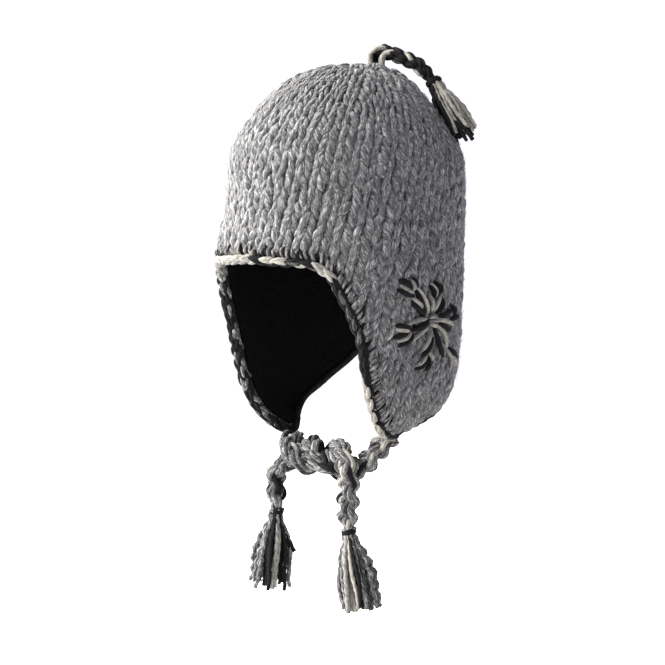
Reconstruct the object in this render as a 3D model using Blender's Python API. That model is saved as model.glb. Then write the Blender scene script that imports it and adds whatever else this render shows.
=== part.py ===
"""Knitted earflap hat with a fleece lining, a crocheted edge and knotted plaited ties.

The frame is in metres with +Z up. The wearer faces -Y and the wearer's left is +X. The
origin is on the lining at the inside of the crown's top, where a head carries the hat.
Turns are measured round the head from the middle of the brow (0 degrees) over the
wearer's left ear (90) to the nape (180). Depths are measured down from the crown's top.
"""

import math
from dataclasses import dataclass

import bpy
import numpy as np

# Driving dimensions of the crown and the flaps, measured on the outside of the knitting.
CROWN_LENGTH = 0.202  # brow to back of the head
CROWN_WIDTH = 0.176  # ear to ear
CROWN_DEPTH = 0.095  # top to the widest section
BROW_DEPTH = 0.1495  # top to the knitting's edge over the brow
NAPE_DEPTH = 0.2155  # top to the knitting's edge at the nape
FLAP_DEPTH = 0.2965  # top to the knitting's edge at the tips of the flaps
GATHER_SETBACK = 0.033  # how far behind the middle the wales are gathered
BROW_FLARE = 0.008  # how far the brow stands out from the head
FLARE_START = -0.35  # cosine of the turn behind which the brow's flare is over
FLARE_SPAN = 0.9  # how much the cosine grows from there to the full flare
FLARE_POWER = 2  # how late the flare sets in on the way down to the brow
SETBACK_POWER = 3  # how fast the gather's setback fades with the radius

# Thicknesses of the walls and the gap between pieces that touch.
KNIT_WALL = 0.005
LINING_WALL = 0.0025
PIECE_GAP = 0.0003

# Crocheted edge, ties and braid.
EDGE_WIDTH = 0.0092  # through the cloth
EDGE_HEIGHT = 0.0082  # down from the cloth's edge
EDGE_STANDOUT = 0.002  # how far its middle lies outside the middle of the cloth
TIE_DIAMETER = 0.014
BRAID_DIAMETER = 0.010

# Tassels.
TIE_TASSEL_LENGTH = 0.066
TIE_TASSEL_WIDTH = 0.032
CROWN_TASSEL_LENGTH = 0.055
CROWN_TASSEL_WIDTH = 0.020
TASSEL_LOCKS = 7
TASSEL_TURN = 0.3  # share of the length in which the yarns turn from the cord's way to the fall
LOCK_TAPER = 0.22  # how far a lock's tip draws in, as a share of the way to the middle

# How finely the round shapes are divided.
COLUMNS = 56  # round the hat
CROWN_RINGS = 8  # gather to the widest section
WALL_RINGS = 8  # widest section to the edge
LEAN_START = 0.25  # share of the rings after which the columns lean over to the edge's turns
TUBE_STEP = 0.006  # distance between the points of a tie's or the braid's tube
TUBE_ROUNDING = 2  # how finely a tube's section is divided

CROWN_TOP = LINING_WALL + PIECE_GAP + KNIT_WALL  # height of the crown's top over the origin


@dataclass(frozen=True)
class Section:
    """A level section of the hat: both values are shares of named sizes."""

    depth: float
    radius: float


@dataclass(frozen=True)
class RimStation:
    """A point of the hat's edge: its turn in degrees, and its drop on each side.

    A drop is a share of the way from the brow (in front of the tip) or the nape (behind
    it) down to the deeper flap's tip. The flaps hang a little unevenly.
    """

    turn: float
    left: float
    right: float


@dataclass(frozen=True)
class Dent:
    """A soft hollow of the cloth; a negative push is a bulge."""

    turn: float  # degrees
    half_turn: float  # degrees
    depth: float  # share of FLAP_DEPTH
    half_depth: float  # share of FLAP_DEPTH
    push: float  # share of KNIT_WALL


@dataclass(frozen=True)
class EdgeCorner:
    """A corner of the crocheted edge's section, as shares of its half width and half height."""

    across: float
    down: float


@dataclass(frozen=True)
class Fabric:
    """A fabric's linear colour and roughness."""

    name: str
    colour: tuple
    roughness: float


@dataclass(frozen=True)
class TasselRing:
    """A section of a tassel: shares of its length and half width, and its flutes' depth."""

    along: float
    radius: float
    flute: float


# Depths are shares of CROWN_DEPTH, radii shares of the widest section's.
CROWN_SECTIONS = (
    Section(depth=0.000, radius=0.000),
    Section(depth=0.018, radius=0.200),
    Section(depth=0.070, radius=0.380),
    Section(depth=0.190, radius=0.565),
    Section(depth=0.316, radius=0.700),
    Section(depth=0.440, radius=0.800),
    Section(depth=0.568, radius=0.886),
    Section(depth=0.695, radius=0.949),
    Section(depth=0.840, radius=0.988),
    Section(depth=1.000, radius=1.000),
)

# Depths are shares of the way from the widest section to the tips.
WALL_SECTIONS = (
    Section(depth=0.00, radius=1.000),
    Section(depth=0.18, radius=1.000),
    Section(depth=0.50, radius=0.972),
    Section(depth=0.66, radius=0.958),
    Section(depth=0.74, radius=0.943),
    Section(depth=0.81, radius=0.918),
    Section(depth=0.88, radius=0.875),
    Section(depth=0.93, radius=0.820),
    Section(depth=0.97, radius=0.752),
    Section(depth=1.00, radius=0.690),
)

FRONT_RIM = (
    RimStation(turn=0.0, left=0.000, right=0.000),
    RimStation(turn=22.0, left=0.013, right=0.013),
    RimStation(turn=35.0, left=0.029, right=0.029),
    RimStation(turn=42.0, left=0.078, right=0.078),
    RimStation(turn=46.5, left=0.152, right=0.152),
    RimStation(turn=51.5, left=0.269, right=0.269),
    RimStation(turn=55.5, left=0.371, right=0.371),
    RimStation(turn=58.5, left=0.469, right=0.469),
    RimStation(turn=60.0, left=0.575, right=0.580),
    RimStation(turn=61.5, left=0.670, right=0.688),
    RimStation(turn=65.5, left=0.806, right=0.838),
    RimStation(turn=73.0, left=0.922, right=0.952),
    RimStation(turn=82.0, left=0.959, right=1.000),
)
BACK_RIM = (
    RimStation(turn=91.0, left=0.864, right=0.890),
    RimStation(turn=102.5, left=0.802, right=0.690),
    RimStation(turn=112.0, left=0.735, right=0.575),
    RimStation(turn=120.0, left=0.636, right=0.460),
    RimStation(turn=128.0, left=0.500, right=0.346),
    RimStation(turn=136.0, left=0.340, right=0.216),
    RimStation(turn=149.0, left=0.148, right=0.093),
    RimStation(turn=164.0, left=0.031, right=0.025),
    RimStation(turn=180.0, left=0.000, right=0.000),
)

DENTS = (
    Dent(turn=120.0, half_turn=30.0, depth=0.05, half_depth=0.07, push=0.45),
    Dent(turn=-60.0, half_turn=35.0, depth=0.16, half_depth=0.10, push=0.35),
    Dent(turn=60.0, half_turn=30.0, depth=0.40, half_depth=0.14, push=0.30),
    Dent(turn=95.0, half_turn=25.0, depth=0.62, half_depth=0.12, push=-0.35),
    Dent(turn=-95.0, half_turn=25.0, depth=0.66, half_depth=0.12, push=-0.30),
    Dent(turn=180.0, half_turn=40.0, depth=0.50, half_depth=0.12, push=0.40),
)

EDGE_SECTION = (
    EdgeCorner(across=0.62, down=-1.0),
    EdgeCorner(across=1.0, down=-0.5),
    EdgeCorner(across=1.0, down=0.5),
    EdgeCorner(across=0.55, down=1.0),
    EdgeCorner(across=-0.55, down=1.0),
    EdgeCorner(across=-1.0, down=0.5),
    EdgeCorner(across=-1.0, down=-0.5),
    EdgeCorner(across=-0.62, down=-1.0),
)

HEATHER = Fabric(name="heather_knit", colour=(0.30, 0.30, 0.31), roughness=0.95)
FLEECE = Fabric(name="black_fleece", colour=(0.010, 0.010, 0.012), roughness=1.0)
CHAIN = Fabric(name="two_colour_chain", colour=(0.16, 0.15, 0.14), roughness=0.95)
PLAIT = Fabric(name="tweed_plait", colour=(0.27, 0.26, 0.25), roughness=0.95)
YARN = Fabric(name="loose_yarn", colour=(0.22, 0.21, 0.20), roughness=0.95)

TASSEL_RINGS = (
    TasselRing(along=0.00, radius=0.26, flute=0.00),
    TasselRing(along=0.03, radius=0.36, flute=0.00),
    TasselRing(along=0.11, radius=0.36, flute=0.00),
    TasselRing(along=0.15, radius=0.30, flute=0.05),
    TasselRing(along=0.26, radius=0.62, flute=0.16),
    TasselRing(along=0.45, radius=0.90, flute=0.24),
    TasselRing(along=0.70, radius=1.00, flute=0.34),
    TasselRing(along=0.88, radius=0.92, flute=0.46),
)
LOCK_TIPS = (1.00, 0.94, 0.99, 0.92, 0.97, 0.95, 0.98)  # each lock's length as a share

# Routes of the ties and the braid, from the hat outwards, chosen by hand.
RIGHT_TIE_ROUTE = (
    (-0.0496, -0.0105, -0.2970),
    (-0.0448, -0.0180, -0.2963),
    (-0.0378, -0.0270, -0.2982),
    (-0.0300, -0.0313, -0.3040),
    (-0.0225, -0.0292, -0.3102),
    (-0.0150, -0.0240, -0.3123),
    (-0.0075, -0.0188, -0.3102),
    (0.0000, -0.0167, -0.3050),
    (0.0075, -0.0188, -0.2998),
    (0.0150, -0.0240, -0.2977),
    (0.0225, -0.0292, -0.2995),
    (0.0295, -0.0320, -0.3045),
    (0.0330, -0.0320, -0.3130),
    (0.0325, -0.0305, -0.3235),
    (0.0300, -0.0290, -0.3380),
    (0.0288, -0.0280, -0.3490),
    (0.0286, -0.0275, -0.3580),
)
LEFT_TIE_ROUTE = (
    (0.0508, -0.0092, -0.2910),
    (0.0455, -0.0145, -0.2975),
    (0.0405, -0.0170, -0.3050),
    (0.0340, -0.0170, -0.3105),
    (0.0260, -0.0185, -0.3125),
    (0.0180, -0.0225, -0.3132),
    (0.0090, -0.0285, -0.3105),
    (0.0000, -0.0313, -0.3050),
    (-0.0075, -0.0292, -0.2998),
    (-0.0150, -0.0240, -0.2977),
    (-0.0225, -0.0188, -0.2998),
    (-0.0300, -0.0167, -0.3050),
    (-0.0365, -0.0165, -0.3103),
    (-0.0445, -0.0195, -0.3130),
    (-0.0513, -0.0235, -0.3175),
    (-0.0548, -0.0268, -0.3250),
    (-0.0552, -0.0265, -0.3380),
    (-0.0550, -0.0263, -0.3520),
)
CROWN_BRAID_ROUTE = (
    (0.0000, 0.0330, 0.0082),
    (0.0004, 0.0331, 0.0135),
    (0.0055, 0.0348, 0.0168),
    (0.0117, 0.0369, 0.0157),
    (0.0238, 0.0409, 0.0112),
    (0.0341, 0.0444, 0.0060),
    (0.0415, 0.0468, -0.0009),
    (0.0469, 0.0486, -0.0062),
)

# Directions in which the tassels hang.
RIGHT_TASSEL_FALL = (0.165, 0.024, -1.0)
LEFT_TASSEL_FALL = (-0.089, -0.010, -1.0)
CROWN_TASSEL_FALL = (0.79, 0.26, -1.0)


def clear_scene():
    """Removes every object that the file starts with."""
    for item in list(bpy.data.objects):
        bpy.data.objects.remove(item, do_unlink=True)


def smoothstep(value):
    """Eases a value from 0 to 1, flat at both ends."""
    value = np.clip(value, 0.0, 1.0)
    return value * value * (3.0 - 2.0 * value)


def smooth_curve(points, steps=12):
    """Samples a centripetal Catmull-Rom curve through the points."""
    points = np.asarray(points, float)
    ends = (2 * points[:1] - points[1:2], 2 * points[-1:] - points[-2:-1])
    padded = np.concatenate([ends[0], points, ends[1]])
    samples = []
    for p0, p1, p2, p3 in zip(padded, padded[1:], padded[2:], padded[3:]):
        t1 = math.sqrt(np.linalg.norm(p1 - p0))
        t2 = t1 + math.sqrt(np.linalg.norm(p2 - p1))
        t3 = t2 + math.sqrt(np.linalg.norm(p3 - p2))
        for t in np.linspace(t1, t2, steps, endpoint=False):
            a1 = p0 + (p1 - p0) * (t / t1)
            a2 = p1 + (p2 - p1) * ((t - t1) / (t2 - t1))
            a3 = p2 + (p3 - p2) * ((t - t2) / (t3 - t2))
            b1 = a1 + (a2 - a1) * (t / t2)
            b2 = a2 + (a3 - a2) * ((t - t1) / (t3 - t1))
            samples.append(b1 + (b2 - b1) * ((t - t1) / (t2 - t1)))
    samples.append(points[-1])
    return np.array(samples)


def spaced_evenly(curve, count, lengths_from=None):
    """Reads count points at even distances along a curve.

    The distances are measured on lengths_from, or on the curve itself.
    """
    ruler = curve if lengths_from is None else lengths_from
    steps = np.linalg.norm(np.diff(ruler, axis=0), axis=1)
    travelled = np.concatenate([[0.0], np.cumsum(steps)])
    wanted = np.linspace(0.0, travelled[-1], count)
    return np.stack([np.interp(wanted, travelled, axis) for axis in curve.T], axis=1)


def fabric_material(fabric):
    """Makes a Principled material for a fabric piece."""
    material = bpy.data.materials.new(fabric.name)
    material.use_nodes = True
    shader = material.node_tree.nodes["Principled BSDF"]
    shader.inputs["Base Color"].default_value = (*fabric.colour, 1.0)
    shader.inputs["Roughness"].default_value = fabric.roughness
    shader.inputs["Metallic"].default_value = 0.0
    return material


def add_mesh(name, points, faces, material):
    """Adds one named object made of a smooth-shaded mesh."""
    mesh = bpy.data.meshes.new(name)
    mesh.from_pydata([tuple(point) for point in points], [], faces)
    mesh.shade_smooth()
    mesh.materials.append(material)
    item = bpy.data.objects.new(name, mesh)
    bpy.context.scene.collection.objects.link(item)
    return item


def wall_radius(depth):
    """Radius share below the widest section, at depths in metres."""
    way = (np.asarray(depth) - CROWN_DEPTH) / (FLAP_DEPTH - CROWN_DEPTH)
    sections = smooth_curve([(section.depth, section.radius) for section in WALL_SECTIONS])
    return np.interp(way, sections[:, 0], sections[:, 1])


def dent_at(turn, depth):
    """How far the soft dents push the cloth inwards at a place, in metres."""
    push = np.zeros(np.shape(turn))
    for dent in DENTS:
        aside = (turn - dent.turn + 180.0) % 360.0 - 180.0
        spread = (aside / dent.half_turn) ** 2
        spread = spread + ((depth / FLAP_DEPTH - dent.depth) / dent.half_depth) ** 2
        push = push + dent.push * KNIT_WALL * np.exp(-spread)
    return push


def outer_point(turn, depth, radius):
    """Places a point of the knitting's outside from its turn, depth and radius share."""
    angle = np.radians(turn)
    front = smoothstep((np.cos(angle) - FLARE_START) / FLARE_SPAN)
    low = smoothstep((depth - CROWN_DEPTH) / (BROW_DEPTH - CROWN_DEPTH)) ** FLARE_POWER
    spare = smoothstep((FLAP_DEPTH - depth) / (FLAP_DEPTH - BROW_DEPTH))
    push = dent_at(turn, depth)
    outward = BROW_FLARE * front * low * spare - push
    narrow = np.minimum(radius, 1.0)
    shift = GATHER_SETBACK * (1.0 - narrow) ** SETBACK_POWER
    reach_x = CROWN_WIDTH / 2 * radius + outward * narrow
    reach_y = CROWN_LENGTH / 2 * radius + outward * narrow
    x = reach_x * np.sin(angle)
    y = shift - reach_y * np.cos(angle)
    z = CROWN_TOP - depth - np.maximum(push, 0.0) * (1.0 - narrow)
    return np.stack([x, y, z], axis=-1)


def half_rim(side):
    """Turns (degrees) and depths (metres) of one side's edge, evenly spaced along it."""
    rows = [(s.turn, BROW_DEPTH + getattr(s, side) * (FLAP_DEPTH - BROW_DEPTH)) for s in FRONT_RIM]
    rows += [(s.turn, NAPE_DEPTH + getattr(s, side) * (FLAP_DEPTH - NAPE_DEPTH)) for s in BACK_RIM]
    unroll = math.pi * CROWN_WIDTH / 360.0
    curve = smooth_curve([(turn * unroll, depth) for turn, depth in rows])
    turns = np.clip(curve[:, 0] / unroll, 0.0, 180.0)
    depths = curve[:, 1]
    placed = outer_point(turns, depths, wall_radius(depths))
    return spaced_evenly(np.stack([turns, depths], axis=1), COLUMNS // 2 + 1, placed)


def whole_rim():
    """Turns and depths of the whole edge, over the left ear and back over the right."""
    right = half_rim("right")[-2:0:-1] * (-1.0, 1.0)
    return np.concatenate([half_rim("left"), right])


def outer_grid():
    """Points of the knitting's outside: the gather, then rings down to the edge."""
    rim = whole_rim()
    even_turns = np.linspace(0.0, 360.0, COLUMNS, endpoint=False)
    even_turns = np.where(even_turns > 180.0, even_turns - 360.0, even_turns)
    profile = smooth_curve([(s.depth * CROWN_DEPTH, s.radius) for s in CROWN_SECTIONS])
    ruler = profile * (1.0, CROWN_WIDTH / 2)
    profile = spaced_evenly(profile, CROWN_RINGS + 1, ruler)
    rings = []
    for index in range(1, CROWN_RINGS + WALL_RINGS + 1):
        way = index / (CROWN_RINGS + WALL_RINGS)
        lean = smoothstep((way - LEAN_START) / (1.0 - LEAN_START))
        turns = even_turns + (rim[:, 0] - even_turns) * lean
        if index <= CROWN_RINGS:
            depths = np.full(COLUMNS, profile[index, 0])
            radii = np.full(COLUMNS, profile[index, 1])
        else:
            down = (index - CROWN_RINGS) / WALL_RINGS
            depths = CROWN_DEPTH + (rim[:, 1] - CROWN_DEPTH) * down
            radii = wall_radius(depths)
        rings.append(outer_point(turns, depths, radii))
    gather = outer_point(np.zeros(1), np.zeros(1), np.zeros(1))
    return np.concatenate([gather, *rings])


def skin_faces():
    """Triangles of one skin of the grid, facing out."""
    faces = [(0, 1 + j, 1 + (j + 1) % COLUMNS) for j in range(COLUMNS)]
    for ring in range(CROWN_RINGS + WALL_RINGS - 1):
        for j in range(COLUMNS):
            k = (j + 1) % COLUMNS
            a, b = 1 + ring * COLUMNS + j, 1 + ring * COLUMNS + k
            c, d = a + COLUMNS, b + COLUMNS
            faces += [(a, d, b), (a, c, d)]
    return faces


def skin_normals(points, faces):
    """Unit normals of a skin at its points, weighted by the faces' areas."""
    corners = points[np.array(faces)]
    normals = np.cross(corners[:, 1] - corners[:, 0], corners[:, 2] - corners[:, 0])
    total = np.zeros_like(points)
    for corner in range(3):
        np.add.at(total, np.array(faces)[:, corner], normals)
    return total / np.linalg.norm(total, axis=1, keepdims=True)


def add_wall(name, outside, normals, faces, thickness, material):
    """Adds a closed wall between a skin and the same skin set in by the thickness."""
    count = len(outside)
    points = np.concatenate([outside, outside - normals * thickness])
    solid = list(faces) + [tuple(count + i for i in reversed(face)) for face in faces]
    last = count - COLUMNS
    for j in range(COLUMNS):
        k = (j + 1) % COLUMNS
        a, b = last + j, last + k
        solid += [(a, count + b, b), (a, count + a, count + b)]
    return add_mesh(name, points, solid, material)


def edge_frames(outside, normals):
    """Middle of the cloth's edge, its inward normal and the way on past the cloth."""
    wall = KNIT_WALL + PIECE_GAP + LINING_WALL
    rim, above = outside[-COLUMNS:], outside[-2 * COLUMNS : -COLUMNS]
    normal = normals[-COLUMNS:]
    along = np.roll(rim, -1, axis=0) - np.roll(rim, 1, axis=0)
    along /= np.linalg.norm(along, axis=1, keepdims=True)
    past = np.cross(along, normal)
    past /= np.linalg.norm(past, axis=1, keepdims=True)
    past *= np.sign(np.sum(past * (rim - above), axis=1, keepdims=True))
    return rim - normal * wall / 2, normal, past


def add_edge(outside, normals, material):
    """Adds the crocheted edge: a closed ring with an eight-sided section."""
    middle, normal, past = edge_frames(outside, normals)
    half_width, half_height = EDGE_WIDTH / 2, EDGE_HEIGHT / 2
    centre = middle + past * (PIECE_GAP + half_height) + normal * EDGE_STANDOUT
    rings = [
        centre + normal * (corner.across * half_width) + past * (corner.down * half_height)
        for corner in EDGE_SECTION
    ]
    points = np.concatenate(rings)
    faces = []
    for side in range(len(EDGE_SECTION)):
        after = (side + 1) % len(EDGE_SECTION)
        for j in range(COLUMNS):
            k = (j + 1) % COLUMNS
            a, b = side * COLUMNS + j, side * COLUMNS + k
            c, d = after * COLUMNS + j, after * COLUMNS + k
            faces += [(a, c, d), (a, d, b)]
    return add_mesh("crochet_edge", points, faces, material)


def add_cord(name, route, diameter, material):
    """Adds a round tube with filled ends along a smooth curve through the route."""
    curve = smooth_curve(route)
    length = np.linalg.norm(np.diff(curve, axis=0), axis=1).sum()
    points = spaced_evenly(curve, round(length / TUBE_STEP) + 1)
    data = bpy.data.curves.new(name, "CURVE")
    data.dimensions = "3D"
    data.bevel_depth = diameter / 2
    data.bevel_resolution = TUBE_ROUNDING
    data.use_fill_caps = True
    data.materials.append(material)
    spline = data.splines.new("POLY")
    spline.points.add(len(points) - 1)
    for slot, point in zip(spline.points, points):
        slot.co = (*point, 1.0)
    item = bpy.data.objects.new(name, data)
    bpy.context.scene.collection.objects.link(item)
    return item


def add_tassel(name, route, fall, length, width, material):
    """Adds a tassel: a binding at the end of its cord, and locks fused to it."""
    end, before = np.array(route[-1]), np.array(route[-2])
    start_way = (end - before) / np.linalg.norm(end - before)
    fall = np.array(fall) / np.linalg.norm(fall)
    top = end + start_way * PIECE_GAP
    side = np.cross(fall, (0.0, 1.0, 0.0))
    side /= np.linalg.norm(side)
    count = 2 * TASSEL_LOCKS
    angles = np.arange(count) * 2 * math.pi / count
    points, faces = [top], []
    for ring in TASSEL_RINGS:
        turned = smoothstep(ring.along / TASSEL_TURN)
        way = start_way + (fall - start_way) * turned
        way /= np.linalg.norm(way)
        across = side - way * side.dot(way)
        across /= np.linalg.norm(across)
        over = np.cross(way, across)
        centre = top + fall * (ring.along * length)
        for index, angle in enumerate(angles):
            reach = width / 2 * ring.radius * (1.0 - ring.flute * (index % 2))
            points.append(centre + (across * math.cos(angle) + over * math.sin(angle)) * reach)
    faces += [(0, 1 + (i + 1) % count, 1 + i) for i in range(count)]
    for ring in range(len(TASSEL_RINGS) - 1):
        for i in range(count):
            k = (i + 1) % count
            a, b = 1 + ring * count + i, 1 + ring * count + k
            faces += [(a, b, b + count), (a, b + count, a + count)]
    last = len(points) - count
    bottom = len(points)
    points.append(top + fall * (TASSEL_RINGS[-1].along * length))
    tips = []
    for lock, share in zip(range(TASSEL_LOCKS), LOCK_TIPS):
        ridge = points[last + 2 * lock]
        inward = (points[bottom] - ridge) * LOCK_TAPER
        tips.append(len(points))
        points.append(ridge + inward + fall * ((share - TASSEL_RINGS[-1].along) * length))
    for lock, tip in enumerate(tips):
        ridge = last + 2 * lock
        before_valley = last + (2 * lock - 1) % count
        after_valley = last + 2 * lock + 1
        faces += [(before_valley, ridge, tip), (ridge, after_valley, tip)]
        faces += [(after_valley, bottom, tip), (bottom, before_valley, tip)]
    return add_mesh(name, points, faces, material)


def build_hat():
    """Builds every piece of the hat."""
    clear_scene()
    outside = outer_grid()
    faces = skin_faces()
    normals = skin_normals(outside, faces)
    heather, fleece, chain, plait, yarn = map(fabric_material, (HEATHER, FLEECE, CHAIN, PLAIT, YARN))
    add_wall("knit_shell", outside, normals, faces, KNIT_WALL, heather)
    lining = outside - normals * (KNIT_WALL + PIECE_GAP)
    add_wall("fleece_lining", lining, normals, faces, LINING_WALL, fleece)
    add_edge(outside, normals, chain)
    add_cord("right_tie", RIGHT_TIE_ROUTE, TIE_DIAMETER, plait)
    add_cord("left_tie", LEFT_TIE_ROUTE, TIE_DIAMETER, plait)
    add_cord("crown_braid", CROWN_BRAID_ROUTE, BRAID_DIAMETER, plait)
    tie_tassel = (TIE_TASSEL_LENGTH, TIE_TASSEL_WIDTH, yarn)
    add_tassel("right_tie_tassel", RIGHT_TIE_ROUTE, RIGHT_TASSEL_FALL, *tie_tassel)
    add_tassel("left_tie_tassel", LEFT_TIE_ROUTE, LEFT_TASSEL_FALL, *tie_tassel)
    crown_tassel = (CROWN_TASSEL_LENGTH, CROWN_TASSEL_WIDTH, yarn)
    add_tassel("crown_tassel", CROWN_BRAID_ROUTE, CROWN_TASSEL_FALL, *crown_tassel)


build_hat()
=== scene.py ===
"""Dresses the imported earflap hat: knitting, fleece, crocheted edge, plaits and tassels."""

import logging
import math
from dataclasses import dataclass, field
from enum import Enum

import bpy
import numpy as np
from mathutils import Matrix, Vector


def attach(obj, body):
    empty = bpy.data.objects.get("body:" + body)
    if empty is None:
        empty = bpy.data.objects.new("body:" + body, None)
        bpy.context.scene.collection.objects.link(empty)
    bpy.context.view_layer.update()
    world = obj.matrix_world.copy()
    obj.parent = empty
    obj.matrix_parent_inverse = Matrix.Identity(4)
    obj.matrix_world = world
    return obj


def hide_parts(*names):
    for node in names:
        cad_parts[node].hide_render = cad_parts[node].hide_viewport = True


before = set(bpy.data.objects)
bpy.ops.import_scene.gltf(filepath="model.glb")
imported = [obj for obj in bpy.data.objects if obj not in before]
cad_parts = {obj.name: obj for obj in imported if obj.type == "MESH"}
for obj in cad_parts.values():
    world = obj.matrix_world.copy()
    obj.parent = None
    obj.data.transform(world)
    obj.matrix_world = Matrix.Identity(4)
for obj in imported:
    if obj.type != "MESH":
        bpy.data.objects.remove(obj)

LOG = logging.getLogger("earflap_hat")
MM = 0.001
BODY = "root"
GOLDEN_ANGLE = 2.39996  # radians; spreads a tassel's yarns evenly over its section
CORNERS = ((0, 0), (0, 1), (1, 1), (1, 0))  # of a face on a tube: steps along it and round it


class Shade(Enum):
    """The yarns' colours, as shares of the way from black wool to cream wool."""

    BLACK = 0.0
    CHARCOAL = 0.22
    GREY = 0.5
    TAUPE = 0.75
    CREAM = 1.0


LETTERS = {"B": Shade.BLACK, "K": Shade.CHARCOAL, "G": Shade.GREY, "T": Shade.TAUPE, "C": Shade.CREAM}


def linear_colour(code: str) -> tuple[float, float, float, float]:
    """Turns an sRGB hex colour into linear RGBA.

    Args:
        code: Six hex digits, with or without a leading hash.

    Returns:
        Linear red, green and blue with full alpha.
    """
    digits = code.lstrip("#")
    values = [int(digits[i : i + 2], 16) / 255.0 for i in (0, 2, 4)]
    red, green, blue = (
        value / 12.92 if value <= 0.04045 else ((value + 0.055) / 1.055) ** 2.4 for value in values
    )
    return red, green, blue, 1.0


def add_node(tree: bpy.types.NodeTree, kind: str, settings: dict | None = None, **inputs) -> bpy.types.Node:
    """Adds a node with its settings, and fills its inputs with values or links.

    Args:
        tree: The tree that gets the node.
        kind: Blender's type name of the node.
        settings: The node's properties by name.
        **inputs: Values or sockets by input name, with underscores for spaces, or i and a number.

    Returns:
        The new node.
    """
    node = tree.nodes.new(kind)
    for key, value in (settings or {}).items():
        setattr(node, key, value)
    fill(tree, node, **inputs)
    return node


def fill(tree: bpy.types.NodeTree, node: bpy.types.Node, **inputs) -> None:
    """Fills a node's inputs with values or links, named as in add_node."""
    for key, value in inputs.items():
        numbered = key[0] == "i" and key[1:].isdigit()
        socket = node.inputs[int(key[1:])] if numbered else node.inputs[key.replace("_", " ")]
        if isinstance(value, bpy.types.NodeSocket):
            tree.links.new(value, socket)
        else:
            socket.default_value = value


def add_math(tree: bpy.types.NodeTree, operation: str, *values, clamp: bool = False) -> bpy.types.NodeSocket:
    """Adds a math node on the given values or links, and returns its result."""
    inputs = {f"i{index}": value for index, value in enumerate(values)}
    return add_node(tree, "ShaderNodeMath", {"operation": operation, "use_clamp": clamp}, **inputs).outputs[0]


def new_object(name: str, data: bpy.types.ID) -> bpy.types.Object:
    """Makes an object of a mesh, a camera or a light and puts it in the scene."""
    item = bpy.data.objects.new(name, data)
    bpy.context.scene.collection.objects.link(item)
    return item


def new_material(name: str) -> tuple[bpy.types.Material, bpy.types.NodeTree, bpy.types.Node]:
    """Makes a material, and returns it with its tree and its shader."""
    material = bpy.data.materials.new(name)
    material.use_nodes = True
    return material, material.node_tree, material.node_tree.nodes["Principled BSDF"]


def mark(mesh: bpy.types.Mesh, label: str, values: np.ndarray) -> None:
    """Stores a value or a vector at each point of a mesh."""
    vector = values.ndim == 2
    attribute = mesh.attributes.new(label, "FLOAT_VECTOR" if vector else "FLOAT", "POINT")
    attribute.data.foreach_set("vector" if vector else "value", values.astype(np.float32).reshape(-1))


def smoothstep(value: np.ndarray) -> np.ndarray:
    """Eases values from 0 to 1, flat at both ends."""
    value = np.clip(value, 0.0, 1.0)
    return value * value * (3.0 - 2.0 * value)


def unit(vectors: np.ndarray) -> np.ndarray:
    """Scales vectors to length one."""
    return vectors / np.maximum(np.linalg.norm(vectors, axis=-1, keepdims=True), 1e-12)


def smooth_curve(points: np.ndarray, steps: int = 12) -> np.ndarray:
    """Samples a centripetal Catmull-Rom curve through the points.

    Args:
        points: The points that the curve passes through.
        steps: Samples in each span.

    Returns:
        The sampled curve.
    """
    points = np.asarray(points, float)
    ends = (2 * points[:1] - points[1:2], 2 * points[-1:] - points[-2:-1])
    padded = np.concatenate([ends[0], points, ends[1]])
    samples = []
    for p0, p1, p2, p3 in zip(padded, padded[1:], padded[2:], padded[3:]):
        t1 = math.sqrt(np.linalg.norm(p1 - p0))
        t2 = t1 + math.sqrt(np.linalg.norm(p2 - p1))
        t3 = t2 + math.sqrt(np.linalg.norm(p3 - p2))
        for t in np.linspace(t1, t2, steps, endpoint=False):
            a1 = p0 + (p1 - p0) * (t / t1)
            a2 = p1 + (p2 - p1) * ((t - t1) / (t2 - t1))
            a3 = p2 + (p3 - p2) * ((t - t2) / (t3 - t2))
            b1 = a1 + (a2 - a1) * (t / t2)
            b2 = a2 + (a3 - a2) * ((t - t1) / (t3 - t1))
            samples.append(b1 + (b2 - b1) * ((t - t1) / (t2 - t1)))
    samples.append(points[-1])
    return np.array(samples)


def travelled(curve: np.ndarray) -> np.ndarray:
    """Distance along a curve at each of its points."""
    return np.concatenate([[0.0], np.cumsum(np.linalg.norm(np.diff(curve, axis=0), axis=1))])


def spaced(curve: np.ndarray, count: int, ruler: np.ndarray | None = None) -> np.ndarray:
    """Reads points at even distances along a curve.

    Args:
        curve: The points to read between.
        count: How many points to return.
        ruler: The points on which the distances are measured, where they aren't the curve's own.

    Returns:
        The evenly spaced points.
    """
    along = travelled(curve if ruler is None else ruler)
    wanted = np.linspace(0.0, along[-1], count)
    return np.stack([np.interp(wanted, along, axis) for axis in curve.T], axis=1)


def carried_frames(path: np.ndarray, start: np.ndarray) -> tuple[np.ndarray, np.ndarray, np.ndarray]:
    """Carries a side vector along a path without twisting it.

    Args:
        path: The points of the path.
        start: A vector beside the path at its start.

    Returns:
        The tangents, the side vectors and the vectors over both.
    """
    tangents = unit(np.gradient(path, axis=0))
    sides = np.empty_like(path)
    side = np.asarray(start, float)
    for index, tangent in enumerate(tangents):
        side = side - tangent * side.dot(tangent)
        side = side / max(np.linalg.norm(side), 1e-9)
        sides[index] = side
    return tangents, sides, np.cross(tangents, sides)


@dataclass(frozen=True)
class Yarn:
    """A two-ply yarn as it lies in one place; sizes in metres."""

    radius: float
    sides: int = 8
    ply_depth: float = 0.12  # how deep the groove between the plies is, as a share of the radius
    ply_length: float = 0.014  # one turn of the plies
    taper: float = 0.35  # how much thinner the ends are


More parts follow.
